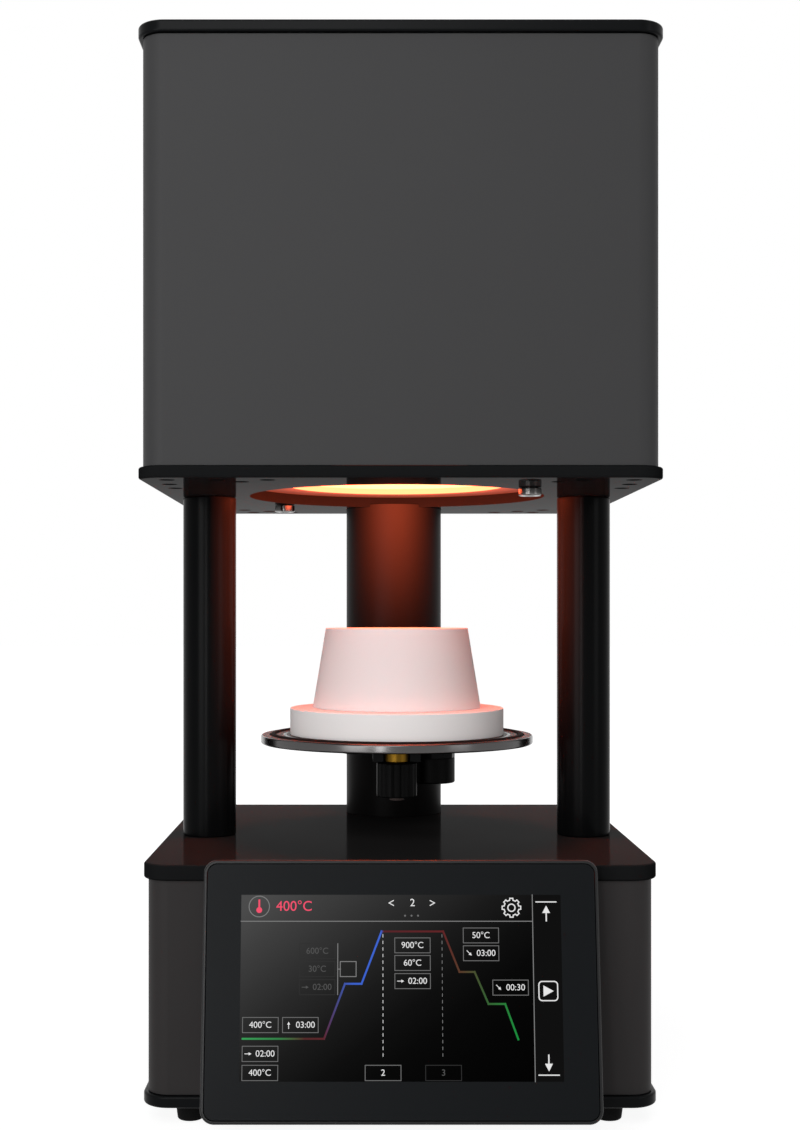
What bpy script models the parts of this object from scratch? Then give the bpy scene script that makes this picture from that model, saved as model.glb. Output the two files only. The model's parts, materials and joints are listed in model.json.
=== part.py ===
"""Dental lab furnace: a hood with the firing chamber stands on three columns over a base, and a screw
inside the rear column lifts the firing table into the chamber.

Lengths are in metres, +Z is up and the front faces -Y. The origin is on the surface that the furnace
stands on, at the middle of its width and depth.
"""
import math

import bmesh
import bpy
from mathutils import Matrix, Vector

# Play between touching pieces, and how far a cutter runs past a face
PLAY = 0.0003
OVERRUN = 0.002

# Firing table: steel disc with its seal, bush, clamp knob and white plinth
TABLE_RADIUS = 0.0767
TABLE_THICK = 0.005
TABLE_EDGE = 0.0009
TABLE_DROP = 0.0180
SEAL_RIM_MARGIN = 0.0067
SEAL_SECTION = 0.0035
SEAL_PROUD = 0.0010
DRIP_GROOVE_WIDTH = 0.0020
DRIP_GROOVE_DEPTH = 0.0008
STEM_RADIUS = 0.0040
STEM_TIP = 0.0020
BUSH_RADIUS = 0.00725
KNOB_RADIUS = 0.0115
KNOB_HEIGHT = 0.0194
KNOB_EDGE = 0.0010
PLINTH_RIM_MARGIN = 0.0164
PLINTH_HEIGHT = 0.0147
PLINTH_EDGE = 0.0010
CONE_FOOT_MARGIN = 0.0128
CONE_TAPER = 0.0073
CONE_HEIGHT = 0.0446
CONE_EDGE = 0.0008

# Lift arm, its collar round the rear column and the spring boss under it
ARM_THICK = 0.0098
ARM_HALF_WIDTH = 0.0135
ARM_NOSE = 0.0030
ARM_TABLE_GAP = 0.0010
COLLAR_WALL = 0.0062
COLLAR_HEIGHT = 0.0130
BOSS_RADIUS = 0.0135
BOSS_HEIGHT = 0.0144
BOSS_EDGE = 0.0010
BOSS_SIDE = 0.0210
BOSS_BEHIND = 0.0290
BOSS_BORE = 0.0025
BOSS_BORE_DEPTH = 0.0050

# Columns
COLUMN_RADIUS = 0.015
COLUMN_WALL = 0.003
COLUMN_CHAMFER = 0.0006
COLUMN_HEIGHT = 0.192
COLUMN_BEHIND = 0.005
REAR_COLUMN_RADIUS = 0.030
REAR_COLUMN_WALL = 0.003
REAR_COLUMN_SEAT = 0.002
TABLE_COLUMN_GAP = 0.0013

# Casing plan, worked outwards from the firing axis
TABLE_SIDE_GAP = 0.0148
COLUMN_EDGE_GAP = 0.0085
AXIS_DEPTH = 0.123
REAR_MARGIN = 0.007
BASE_SETBACK = 0.019
CORNER_RADIUS = 0.014
SHELL_INSET = 0.0023
SHELL_WALL = 0.0016

# Casing heights, from the floor up
FOOT_HEIGHT = 0.011
BASE_BOTTOM_THICK = 0.006
BASE_SHELL_HEIGHT = 0.1077
BASE_TOP_THICK = 0.008
HOOD_BOTTOM_THICK = 0.006
HOOD_HEADROOM = 0.0124
HOOD_TOP_THICK = 0.006
PLATE_EDGE = 0.0012

# Feet
FOOT_TOP_RADIUS = 0.0080
FOOT_BOTTOM_RADIUS = 0.0068
FOOT_EDGE = 0.0012
FOOT_SIDE_INSET = 0.023
FOOT_END_INSET = 0.0205

# Hood bottom plate: round opening, vent holes and the two screws of the seal flange
OPENING_GAP = 0.0064
VENT_RADIUS = 0.004
VENT_MARGIN = 0.014
VENT_PITCH = 0.025
FRONT_VENT_SHARES = ((0, 0), (1, 0), (2, 0), (1.44, 0.42), (-0.08, 1.02), (-0.08, 1.98))
REAR_VENT_SHARES = ((1, 0), (2, 0), (1.44, 0.42), (0.84, 0.88))
SCREW_CIRCLE_GAP = 0.0099
SCREW_HEAD_RADIUS = 0.006
SCREW_HEAD_HEIGHT = 0.004
SCREW_HEAD_EDGE = 0.0008
SCREW_SHANK_RADIUS = 0.002
SCREW_SHANK_LENGTH = 0.005
FRONT_SCREW_ANGLE = math.radians(-42)
REAR_SCREW_ANGLE = math.radians(136)

# Firing chamber
MOUTH_GAP = 0.0010
SEAL_FLANGE_THICK = 0.003
SEAL_FLANGE_RIM = 0.001
HEATER_RECESS = 0.0057
COLLAR_INSULATION_HEIGHT = 0.010
WALL_INSULATION_HEIGHT = 0.100
ROOF_INSULATION_HEIGHT = 0.030
CAN_WALL = 0.0015
CAN_BEARING_GAP = 0.002
COIL_WIRE_RADIUS = 0.0015
COIL_WALL_GAP = 0.0006
COIL_END_MARGIN = 0.010
COIL_BEND_RADIUS = 0.005
THERMOCOUPLE_RADIUS = 0.00225
THERMOCOUPLE_REACH = 0.025
THERMOCOUPLE_OFFSET = 0.052
THERMOCOUPLE_HEAD_RADIUS = 0.009
THERMOCOUPLE_HEAD_HEIGHT = 0.014
TERMINAL_STEM_RADIUS = 0.002
TERMINAL_HEAD_RADIUS = 0.006
TERMINAL_HEAD_HEIGHT = 0.010
PORT_STEM_RADIUS = 0.003
PORT_FLANGE_RADIUS = 0.009
PORT_FLANGE_HEIGHT = 0.003
PORT_NECK_RADIUS = 0.0045
PORT_NECK_HEIGHT = 0.008
HEAD_EDGE = 0.0008

# Lift screw, nut, bearings, coupling and motor
SCREW_RADIUS = 0.006
NUT_HEIGHT = 0.022
NUT_DROP = 0.0002
NUT_COLUMN_GAP = 0.0006
KEY_WIDTH = 0.009
KEY_SIDE_GAP = 0.0005
KEY_MARGIN = 0.002
KEY_TRAVEL_GAP = 0.001
TABLE_FLOOR_GAP = 0.0023
BEARING_RADIUS = 0.011
BEARING_FLANGE_RADIUS = 0.014
BEARING_FLANGE_THICK = 0.0025
COUPLING_RADIUS = 0.010
COUPLING_HEIGHT = 0.022
COUPLING_SOCKET = 0.010
COUPLING_EDGE = 0.001
MOTOR_WIDTH = 0.0423
MOTOR_HEIGHT = 0.040
MOTOR_CORNER = 0.004
MOTOR_EDGE = 0.0008
MOTOR_PILOT_RADIUS = 0.011
MOTOR_PILOT_HEIGHT = 0.002

# Display, leaning back in front of the base
DISPLAY_WIDTH = 0.194
DISPLAY_HEIGHT = 0.1255
DISPLAY_THICK = 0.010
DISPLAY_CORNER = 0.0068
DISPLAY_EDGE = 0.0011
DISPLAY_RIM = 0.0016
DISPLAY_TILT = math.radians(9.5)
DISPLAY_BOTTOM_HEIGHT = 0.0131
DISPLAY_REACH = 0.0318
GLASS_THICK = 0.002
GLASS_EDGE = 0.0003
LCD_MARGIN = 0.011
LCD_THICK = 0.003
LCD_CORNER = 0.002
BOARD_MARGIN = 0.018
BOARD_THICK = 0.0016
BOARD_CORNER = 0.003
HOUSING_SIDE_MARGIN = 0.022
HOUSING_LOW_MARGIN = 0.013
HOUSING_HIGH_MARGIN = 0.020
HOUSING_CORNER = 0.008

# Cooling fan behind the rear wall, and the slots before it
FAN_SIDE = 0.072
FAN_WIDTH = 0.060
FAN_THICK = 0.015
FAN_CORNER = 0.004
FAN_EDGE = 0.0006
FAN_BORE_RADIUS = 0.0275
FAN_TIP_GAP = 0.001
FAN_HUB_RADIUS = 0.013
FAN_HUB_EDGE = 0.0015
FAN_SPIDER_THICK = 0.003
FAN_STRUT_WIDTH = 0.005
FAN_SCREW_RADIUS = 0.0022
FAN_SCREW_INSET = 0.005
BLADE_COUNT = 7
BLADE_THICK = 0.0010
BLADE_MARGIN = 0.0012
BLADE_ROOT_CHORD_ANGLE = math.radians(40)
BLADE_TIP_CHORD_ANGLE = math.radians(34)
BLADE_SWEEP = math.radians(14)
BLADE_ROOT_SINK = 0.0015
GUARD_SLOT_HEIGHT = 0.004
GUARD_SLOT_PITCH = 0.0076
SLOT_CORNER_SHARE = 0.42

# Power entry module on the rear wall: inlet, fuse drawer and rocker
ENTRY_SIDE = -0.085
ENTRY_FLANGE_WIDTH = 0.030
ENTRY_FLANGE_HEIGHT = 0.066
ENTRY_FLANGE_THICK = 0.0025
ENTRY_FLANGE_CORNER = 0.003
ENTRY_FLANGE_EDGE = 0.0006
ENTRY_BODY_WIDTH = 0.0270
ENTRY_BODY_HEIGHT = 0.0580
ENTRY_BODY_DEPTH = 0.0270
ENTRY_BODY_CORNER = 0.0015
INLET_DROP = 0.0165
INLET_WIDTH = 0.0235
INLET_HEIGHT = 0.0165
INLET_CHAMFER = 0.0045
INLET_DEPTH = 0.0160
PIN_WIDTH = 0.0020
PIN_HEIGHT = 0.0040
PIN_SPACING = 0.0070
PIN_DROP = 0.0020
PIN_RISE = 0.0020
PIN_LENGTH = 0.0130
DRAWER_WIDTH = 0.0220
DRAWER_HEIGHT = 0.0070
DRAWER_DEPTH = 0.0235
DRAWER_DROP = 0.0025
DRAWER_EDGE = 0.0004
DRAWER_NOTCH_WIDTH = 0.0060
DRAWER_NOTCH_DEPTH = 0.0012
DRAWER_TRAVEL = 0.012
FUSE_RADIUS = 0.0025
FUSE_LENGTH = 0.020
FUSE_CAP_LENGTH = 0.005
FUSE_GLASS_SINK = 0.0003
ROCKER_RISE = 0.0165
ROCKER_WIDTH = 0.0200
ROCKER_HALF_HEIGHT = 0.0062
ROCKER_SIDE_GAP = 0.0004
ROCKER_END_GAP = 0.0009
ROCKER_PIVOT_DEPTH = 0.0030
ROCKER_PROUD = 0.0010
ROCKER_DISH = 0.0008
ROCKER_BACK_RADIUS = 0.0058
ROCKER_POCKET_DEPTH = 0.0110
ROCKER_TILT = math.radians(11)

# Pump socket, hose nipple and valve
PUMP_SIDE = -0.042
PUMP_SOCKET_DROP = 0.014
SOCKET_FLANGE_WIDTH = 0.034
SOCKET_FLANGE_HEIGHT = 0.026
SOCKET_FLANGE_THICK = 0.002
SOCKET_FLANGE_CORNER = 0.004
SOCKET_BODY_WIDTH = 0.028
SOCKET_BODY_HEIGHT = 0.020
SOCKET_BODY_CORNER = 0.002
SOCKET_BODY_DEPTH = 0.020
SOCKET_SLOT_DEPTH = 0.012
SOCKET_SLOT_PLAY = 0.0004
NIPPLE_RISE = 0.022
NIPPLE_REACH = 0.020
NIPPLE_BARB_RADIUS = 0.0045
NIPPLE_WAIST_RADIUS = 0.0036
NIPPLE_BARB_COUNT = 3
NIPPLE_NUT_RADIUS = 0.0080
NIPPLE_NUT_THICK = 0.004
NIPPLE_THREAD_RADIUS = 0.0048
NIPPLE_THREAD_LENGTH = 0.008
NIPPLE_BORE_RADIUS = 0.0022
VALVE_WIDTH = 0.028
VALVE_DEPTH = 0.026
VALVE_HEIGHT = 0.020
VALVE_CORNER = 0.002
VALVE_EDGE = 0.0006
SOLENOID_RADIUS = 0.009
SOLENOID_HEIGHT = 0.008

# Hose and heater leads, from the base through the front columns to the chamber
LINE_RADIUS = 0.003
LINE_PITCH = 0.014
LINE_TURN_CLEARANCE = 0.018
LINE_BEND_STEP_COUNT = 10
LINE_HOLE_GAP = 0.001
HOSE_START_HANDLE = 0.066
LEAD_START_HANDLE = 0.022
LINE_END_HANDLE = 0.035

# Electrical parts on the base's bottom plate
TRANSFORMER_SIDE = -0.062
TRANSFORMER_DEPTH = 0.090
TRANSFORMER_RADIUS = 0.042
TRANSFORMER_BORE = 0.014
TRANSFORMER_HEIGHT = 0.040
TRANSFORMER_ROUND = 0.010
RELAY_SIDE = 0.075
RELAY_DEPTH = 0.185
RELAY_WIDTH = 0.045
RELAY_LENGTH = 0.058
RELAY_HEIGHT = 0.025
RELAY_CORNER = 0.003
RELAY_EDGE = 0.001
SINK_WIDTH = 0.060
SINK_LENGTH = 0.064
SINK_HEIGHT = 0.022
SINK_BASE_THICK = 0.005
SINK_FIN_COUNT = 9
SINK_FIN_THICK = 0.0022
CONTROL_SIDE = 0.058
CONTROL_DEPTH = 0.085
CONTROL_WIDTH = 0.110
CONTROL_LENGTH = 0.080
CONTROL_STANDOFF_RADIUS = 0.003
CONTROL_STANDOFF_HEIGHT = 0.008
CONTROL_STANDOFF_INSET = 0.006

# Air slots in the base's bottom plate and at the back of the hood
INTAKE_SLOT_WIDTH = 0.004
INTAKE_SLOT_LENGTH = 0.026
INTAKE_SLOT_PITCH = 0.016
INTAKE_SLOT_COUNT = 4
INTAKE_FRONT_DEPTH = 0.070
INTAKE_REAR_DEPTH = 0.150
HOOD_SLOT_WIDTH = 0.004
HOOD_SLOT_HEIGHT = 0.028
HOOD_SLOT_PITCH = 0.016
HOOD_SLOT_COUNT = 10
HOOD_SLOT_DROP = 0.030

# Counts of flats on round forms
TABLE_FLAT_COUNT = 40
CHAMBER_FLAT_COUNT = 32
REAR_COLUMN_FLAT_COUNT = 32
COLUMN_FLAT_COUNT = 24
SMALL_FLAT_COUNT = 16
TINY_FLAT_COUNT = 8
CORNER_FLAT_COUNT = 4
SLOT_FLAT_COUNT = 2
EDGE_FLAT_COUNT = 2
SEAL_FLAT_COUNT = 6
COIL_TURN_FLAT_COUNT = 24
COIL_TURN_COUNT = 5
COIL_BEND_FLAT_COUNT = 5
BLADE_STATION_COUNT = 3
SHARP_ANGLE = math.radians(35)

# Finishes: linear colour, roughness, metallic
FINISHES = {
    "satin_grey_paint": ((0.040, 0.040, 0.041), 0.50, 0.0),
    "gloss_black": ((0.006, 0.006, 0.007), 0.16, 0.0),
    "black_plate": ((0.012, 0.012, 0.013), 0.25, 0.4),
    "satin_black_paint": ((0.012, 0.012, 0.013), 0.30, 0.0),
    "black_plastic": ((0.010, 0.010, 0.010), 0.45, 0.0),
    "black_rubber": ((0.008, 0.008, 0.008), 0.80, 0.0),
    "display_glass": ((0.004, 0.004, 0.004), 0.06, 0.0),
    "steel": ((0.42, 0.41, 0.41), 0.22, 1.0),
    "bare_steel": ((0.36, 0.36, 0.37), 0.35, 1.0),
    "aluminium": ((0.55, 0.55, 0.56), 0.40, 1.0),
    "brass": ((0.55, 0.36, 0.09), 0.28, 1.0),
    "ceramic": ((0.74, 0.70, 0.69), 0.70, 0.0),
    "insulation": ((0.80, 0.76, 0.70), 0.95, 0.0),
    "heating_wire": ((0.60, 0.14, 0.03), 0.60, 0.0),
    "circuit_board": ((0.02, 0.10, 0.04), 0.50, 0.0),
    "lacquered_copper": ((0.42, 0.16, 0.05), 0.40, 0.6),
    "clear_hose": ((0.60, 0.62, 0.64), 0.30, 0.0),
    "silicone_red": ((0.30, 0.03, 0.02), 0.55, 0.0),
    "fuse_glass": ((0.70, 0.72, 0.72), 0.10, 0.0),
}

# Plan places that follow from the driving dimensions; "depth" counts back from the hood's front
case_width = 2 * (TABLE_RADIUS + TABLE_SIDE_GAP + 2 * COLUMN_RADIUS + COLUMN_EDGE_GAP)
column_side = TABLE_RADIUS + TABLE_SIDE_GAP + COLUMN_RADIUS
column_offset = TABLE_RADIUS + TABLE_COLUMN_GAP + REAR_COLUMN_RADIUS
hood_depth = AXIS_DEPTH + column_offset + REAR_COLUMN_RADIUS + REAR_MARGIN
base_depth = hood_depth - BASE_SETBACK
front_reach = DISPLAY_REACH - BASE_SETBACK
front_round = DISPLAY_EDGE * (math.sin(DISPLAY_TILT) + math.cos(DISPLAY_TILT) - 1)
rear_reach = hood_depth - SHELL_INSET + NIPPLE_REACH
hood_front = (front_reach - front_round - rear_reach) / 2
axis_y = hood_front + AXIS_DEPTH
column_y = axis_y + COLUMN_BEHIND
rear_column_y = axis_y + column_offset
hood_middle_y = hood_front + hood_depth / 2
base_front = hood_front + BASE_SETBACK
base_middle_y = base_front + base_depth / 2
shell_front = base_front + SHELL_INSET
shell_rear = hood_front + hood_depth - SHELL_INSET
half_width = case_width / 2
shell_corner = CORNER_RADIUS - SHELL_INSET

# Heights that follow
base_bottom_z = FOOT_HEIGHT
base_floor_z = base_bottom_z + BASE_BOTTOM_THICK
base_ceiling_z = base_floor_z + BASE_SHELL_HEIGHT
base_top_z = base_ceiling_z + BASE_TOP_THICK
hood_bottom_z = base_top_z + COLUMN_HEIGHT
hood_floor_z = hood_bottom_z + HOOD_BOTTOM_THICK
base_middle_z = (base_floor_z + base_ceiling_z) / 2
deck_z = base_floor_z + PLAY

# Firing table heights and reach at rest, from its lowest place upwards
travel_down = TABLE_DROP
stem_low_z = base_top_z + TABLE_FLOOR_GAP + travel_down
knob_low_z = stem_low_z + STEM_TIP
knob_top_z = knob_low_z + KNOB_HEIGHT
arm_low_z = knob_top_z + PLAY
arm_top_z = arm_low_z + ARM_THICK
table_rest_z = arm_top_z + ARM_TABLE_GAP
table_top_z = table_rest_z + TABLE_THICK
collar_low_z = arm_top_z - PLAY - COLLAR_HEIGHT
collar_radius = REAR_COLUMN_RADIUS + PLAY + COLLAR_WALL
seal_top_z = table_top_z + SEAL_PROUD
plinth_low_z = table_top_z + PLAY
plinth_top_z = plinth_low_z + PLINTH_HEIGHT
cone_low_z = plinth_top_z + PLAY

# Radii on the firing table, from its rim inwards
seal_radius = TABLE_RADIUS - SEAL_RIM_MARGIN
plinth_radius = TABLE_RADIUS - PLINTH_RIM_MARGIN
cone_foot_radius = plinth_radius - CONE_FOOT_MARGIN
cone_top_radius = cone_foot_radius - CONE_TAPER

# Firing chamber radii and heights
opening_radius = TABLE_RADIUS + OPENING_GAP
mouth_radius = plinth_radius + MOUTH_GAP
heater_radius = mouth_radius + HEATER_RECESS
can_radius = column_offset - BEARING_FLANGE_RADIUS - CAN_BEARING_GAP
insulation_radius = can_radius - CAN_WALL - PLAY
seal_flange_radius = can_radius + SEAL_FLANGE_RIM
coil_radius = heater_radius - COIL_WALL_GAP - COIL_WIRE_RADIUS
seal_flange_z = hood_floor_z + PLAY
can_low_z = seal_flange_z + SEAL_FLANGE_THICK + PLAY
wall_low_z = can_low_z + COLLAR_INSULATION_HEIGHT + PLAY
roof_low_z = wall_low_z + WALL_INSULATION_HEIGHT + PLAY
can_ceiling_z = roof_low_z + ROOF_INSULATION_HEIGHT + PLAY
can_top_z = can_ceiling_z + CAN_WALL
travel_up = seal_flange_z - PLAY - seal_top_z

# Hose and leads over the chamber, and the hood's height that clears them
line_landing = math.sqrt(coil_radius ** 2 - COLUMN_BEHIND ** 2)
line_turn_radius = (column_side - line_landing) / 2
terminal_top_z = can_top_z + PLAY + TERMINAL_HEAD_HEIGHT
port_top_z = can_top_z + PLAY + PORT_FLANGE_HEIGHT + PORT_NECK_HEIGHT
line_top_z = max(terminal_top_z, port_top_z) + LINE_TURN_CLEARANCE + line_turn_radius + LINE_RADIUS
hood_ceiling_z = line_top_z + HOOD_HEADROOM

# Lift screw heights
nut_top_z = arm_top_z - PLAY - NUT_DROP
nut_low_z = nut_top_z - NUT_HEIGHT
motor_top_z = deck_z + MOTOR_HEIGHT
coupling_low_z = motor_top_z + MOTOR_PILOT_HEIGHT + PLAY
coupling_top_z = coupling_low_z + COUPLING_HEIGHT
screw_low_z = coupling_top_z - COUPLING_SOCKET + PLAY
upper_flange_z = hood_floor_z + PLAY
screw_top_z = upper_flange_z + BEARING_FLANGE_THICK


def clear_scene():
    for item in list(bpy.data.objects):
        bpy.data.objects.remove(item, do_unlink=True)


def finish_material(piece_name, finish):
    colour, roughness, metallic = FINISHES[finish]
    material = bpy.data.materials.new(piece_name + "_" + finish)
    material.use_nodes = True
    shader = material.node_tree.nodes["Principled BSDF"]
    shader.inputs["Base Color"].default_value = (*colour, 1.0)
    shader.inputs["Roughness"].default_value = roughness
    shader.inputs["Metallic"].default_value = metallic
    return material


def circle(radius, flats, centre=(0, 0)):
    """Points round a circle, anticlockwise."""
    return [
        (
            centre[0] + radius * math.cos(math.tau * flat / flats),
            centre[1] + radius * math.sin(math.tau * flat / flats),
        )
        for flat in range(flats)
    ]


def arc(radius, start, end, flats, centre=(0, 0)):
    """Points along an arc from the start angle to the end angle, both included."""
    return [
        (
            centre[0] + radius * math.cos(start + (end - start) * flat / flats),
            centre[1] + radius * math.sin(start + (end - start) * flat / flats),
        )
        for flat in range(flats + 1)
    ]


def rounded_rectangle(width, height, radius, flats=CORNER_FLAT_COUNT, centre=(0, 0)):
    """Points of a rectangle with round corners, anticlockwise."""
    points = []
    for quarter, (side_x, side_y) in enumerate(((1, 1), (-1, 1), (-1, -1), (1, -1))):
        corner = (
            centre[0] + side_x * (width / 2 - radius),
            centre[1] + side_y * (height / 2 - radius),
        )
        start = quarter * math.pi / 2
        points += arc(radius, start, start + math.pi / 2, flats, corner)
    return points


def skin(rings, closed=False):
    """A solid through rings of 3-D points; closed joins the last ring to the first, without end caps."""
    shape = bmesh.new()
    loops = [[shape.verts.new(point) for point in ring] for ring in rings]
    pairs = list(zip(loops, loops[1:]))
    if closed:
        pairs.append((loops[-1], loops[0]))
    for lower, upper in pairs:
        for here in range(len(lower)):
            after = (here + 1) % len(lower)
            shape.faces.new((lower[here], lower[after], upper[after], upper[here]))
    if not closed:
        shape.faces.new(reversed(loops[0]))
        shape.faces.new(loops[-1])
    bmesh.ops.recalc_face_normals(shape, faces=shape.faces)
    return shape


def stack(levels, closed=False):
    """A solid through (outline, height) levels."""
    return skin([[(x, y, height) for x, y in outline] for outline, height in levels], closed)


def prism(outline, low, high):
    return stack([(outline, low), (outline, high)])


def turned(profile, flats, closed=False):
    """A solid turned round Z from (radius, height) points; closed makes it a ring."""
    return stack([(circle(radius, flats), height) for radius, height in profile], closed)


def box(low, high):
    corners = ((low[0], low[1]), (high[0], low[1]), (high[0], high[1]), (low[0], high[1]))
    return prism(corners, low[2], high[2])


def cylinder(radius, low, high, flats, centre=(0, 0)):
    return prism(circle(radius, flats, centre), low, high)


def lower_edge(radius, height, edge, flats=EDGE_FLAT_COUNT):
    """Profile points of a rounded lower edge, from the underside outwards."""
    return [
        (
            radius - edge * (1 - math.sin(math.pi / 2 * flat / flats)),
            height + edge * (1 - math.cos(math.pi / 2 * flat / flats)),
        )
        for flat in range(flats + 1)
    ]


def upper_edge(radius, height, edge, flats=EDGE_FLAT_COUNT):
    """Profile points of a rounded upper edge, from the side inwards."""
    return [
        (
            radius - edge * (1 - math.cos(math.pi / 2 * flat / flats)),
            height - edge * (1 - math.sin(math.pi / 2 * flat / flats)),
        )
        for flat in range(flats + 1)
    ]


def rounded_slab(width, height, radius, low, high, edge, flats=CORNER_FLAT_COUNT):
    """Levels of a slab with round corners and rounded lower and upper edges."""
    rims = lower_edge(edge, low, edge) + upper_edge(edge, high, edge)
    levels = []
    for reach, level in rims:
        inset = edge - reach
        outline = rounded_rectangle(width - 2 * inset, height - 2 * inset, radius - inset, flats)
        levels.append((outline, level))
    return levels


def joined(shapes):
    """One mesh that holds several separate shapes."""
    whole = bmesh.new()
    for shape in shapes:
        part = bpy.data.meshes.new("part")
        shape.to_mesh(part)
        shape.free()
        whole.from_mesh(part)
        bpy.data.meshes.remove(part)
    return whole


def place(shape, offset):
    bmesh.ops.translate(shape, verts=shape.verts, vec=offset)
    return shape


def new_object(name, shape, location, parent, turn):
    """Links a mesh object; turn lays a shape that was drawn flat upright."""
    if turn:
        shape.transform(Matrix.Rotation(math.pi / 2, 4, "X"))
    mesh = bpy.data.meshes.new(name)
    shape.to_mesh(mesh)
    shape.free()
    mesh.shade_smooth()
    mesh.set_sharp_from_angle(angle=SHARP_ANGLE)
    piece = bpy.data.objects.new(name, mesh)
    bpy.context.collection.objects.link(piece)
    piece.location = location
    piece.parent = parent
    return piece


def add_piece(name, shape, finish, location=(0, 0, 0), parent=None, turn=False):
    piece = new_object(name, shape, location, parent, turn)
    piece.data.materials.append(finish_material(name, finish))
    return piece


def combine(piece, shape, operation, turn=False):
    """Cuts a shape from a piece, or unites it with it; the shape is drawn in the piece's own place."""
    tool_name = piece.name + "_" + operation.lower() + str(len(piece.modifiers))
    tool = new_object(tool_name, shape, piece.location, piece.parent, turn)
    tool.hide_render = True
    tool.display_type = "WIRE"
    modifier = piece.modifiers.new(tool_name, "BOOLEAN")
    modifier.operation = operation
    modifier.solver = "EXACT"
    modifier.object = tool


def cut(piece, shape, turn=False):
    combine(piece, shape, "DIFFERENCE", turn)


def unite(piece, shape, turn=False):
    combine(piece, shape, "UNION", turn)


def slot_outline(width, height, centre=(0, 0)):
    return rounded_rectangle(width, height, min(width, height) * SLOT_CORNER_SHARE, SLOT_FLAT_COUNT, centre)


def shell_ring(depth, low, high):
    """Levels of an upright sheet shell, open above and below."""
    width = case_width - 2 * SHELL_INSET
    length = depth - 2 * SHELL_INSET
    outer = rounded_rectangle(width, length, shell_corner)
    inner = rounded_rectangle(width - 2 * SHELL_WALL, length - 2 * SHELL_WALL, shell_corner - SHELL_WALL)
    return stack([(outer, low), (outer, high), (inner, high), (inner, low)], closed=True)


def plan(x, y, origin):
    """A place in plan, seen from a piece whose origin is given."""
    return (x - origin[0], y - origin[1])


def add_feet():
    profile = lower_edge(FOOT_BOTTOM_RADIUS, 0, FOOT_EDGE)
    profile.append((FOOT_TOP_RADIUS, FOOT_HEIGHT - PLAY))
    foot_side = half_width - FOOT_SIDE_INSET
    ends = (("front", base_front + FOOT_END_INSET), ("rear", base_front + base_depth - FOOT_END_INSET))
    for end_name, y in ends:
        for side_name, side in (("left", -1), ("right", 1)):
            name = "foot_" + end_name + "_" + side_name
            add_piece(name, turned(profile, SMALL_FLAT_COUNT), "black_rubber", (side * foot_side, y, 0))


def add_base_plates():
    low = rounded_slab(case_width, base_depth, CORNER_RADIUS, 0, BASE_BOTTOM_THICK, PLATE_EDGE)
    bottom = add_piece("base_bottom_plate", stack(low), "black_plate", (0, base_middle_y, base_bottom_z))
    slots = []
    for depth in (INTAKE_FRONT_DEPTH, INTAKE_REAR_DEPTH):
        for number in range(INTAKE_SLOT_COUNT):
            x = (number - (INTAKE_SLOT_COUNT - 1) / 2) * INTAKE_SLOT_PITCH
            centre = (x, hood_front + depth - base_middle_y)
            outline = slot_outline(INTAKE_SLOT_WIDTH, INTAKE_SLOT_LENGTH, centre)
            slots.append(prism(outline, -OVERRUN, BASE_BOTTOM_THICK + OVERRUN))
    cut(bottom, joined(slots))

    high = rounded_slab(case_width, base_depth, CORNER_RADIUS, 0, BASE_TOP_THICK, PLATE_EDGE)
    top = add_piece("base_top_plate", stack(high), "black_plate", (0, base_middle_y, base_ceiling_z))
    origin = (0, base_middle_y)
    holes = [cylinder(BEARING_RADIUS + PLAY, -OVERRUN, BASE_TOP_THICK + OVERRUN, SMALL_FLAT_COUNT,
                      plan(0, rear_column_y, origin))]
    for side in (-1, 1):
        centre = plan(side * column_side, column_y, origin)
        holes.append(cylinder(LINE_RADIUS + LINE_HOLE_GAP, -OVERRUN, BASE_TOP_THICK + OVERRUN,
                              TINY_FLAT_COUNT, centre))
    cut(top, joined(holes))


def guard_slots():
    """Slots in the rear wall before the fan, each as long as the fan's bore is wide there; z runs inwards."""
    slots = []
    pairs = math.floor((FAN_BORE_RADIUS - GUARD_SLOT_HEIGHT) / GUARD_SLOT_PITCH)
    for number in range(-pairs, pairs + 1):
        rise = number * GUARD_SLOT_PITCH
        reach = abs(rise) + GUARD_SLOT_HEIGHT / 2
        length = 2 * math.sqrt(FAN_BORE_RADIUS ** 2 - reach ** 2)
        outline = slot_outline(length, GUARD_SLOT_HEIGHT, (FAN_SIDE, rise))
        slots.append(prism(outline, -OVERRUN, SHELL_WALL + OVERRUN))
    return slots


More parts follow.
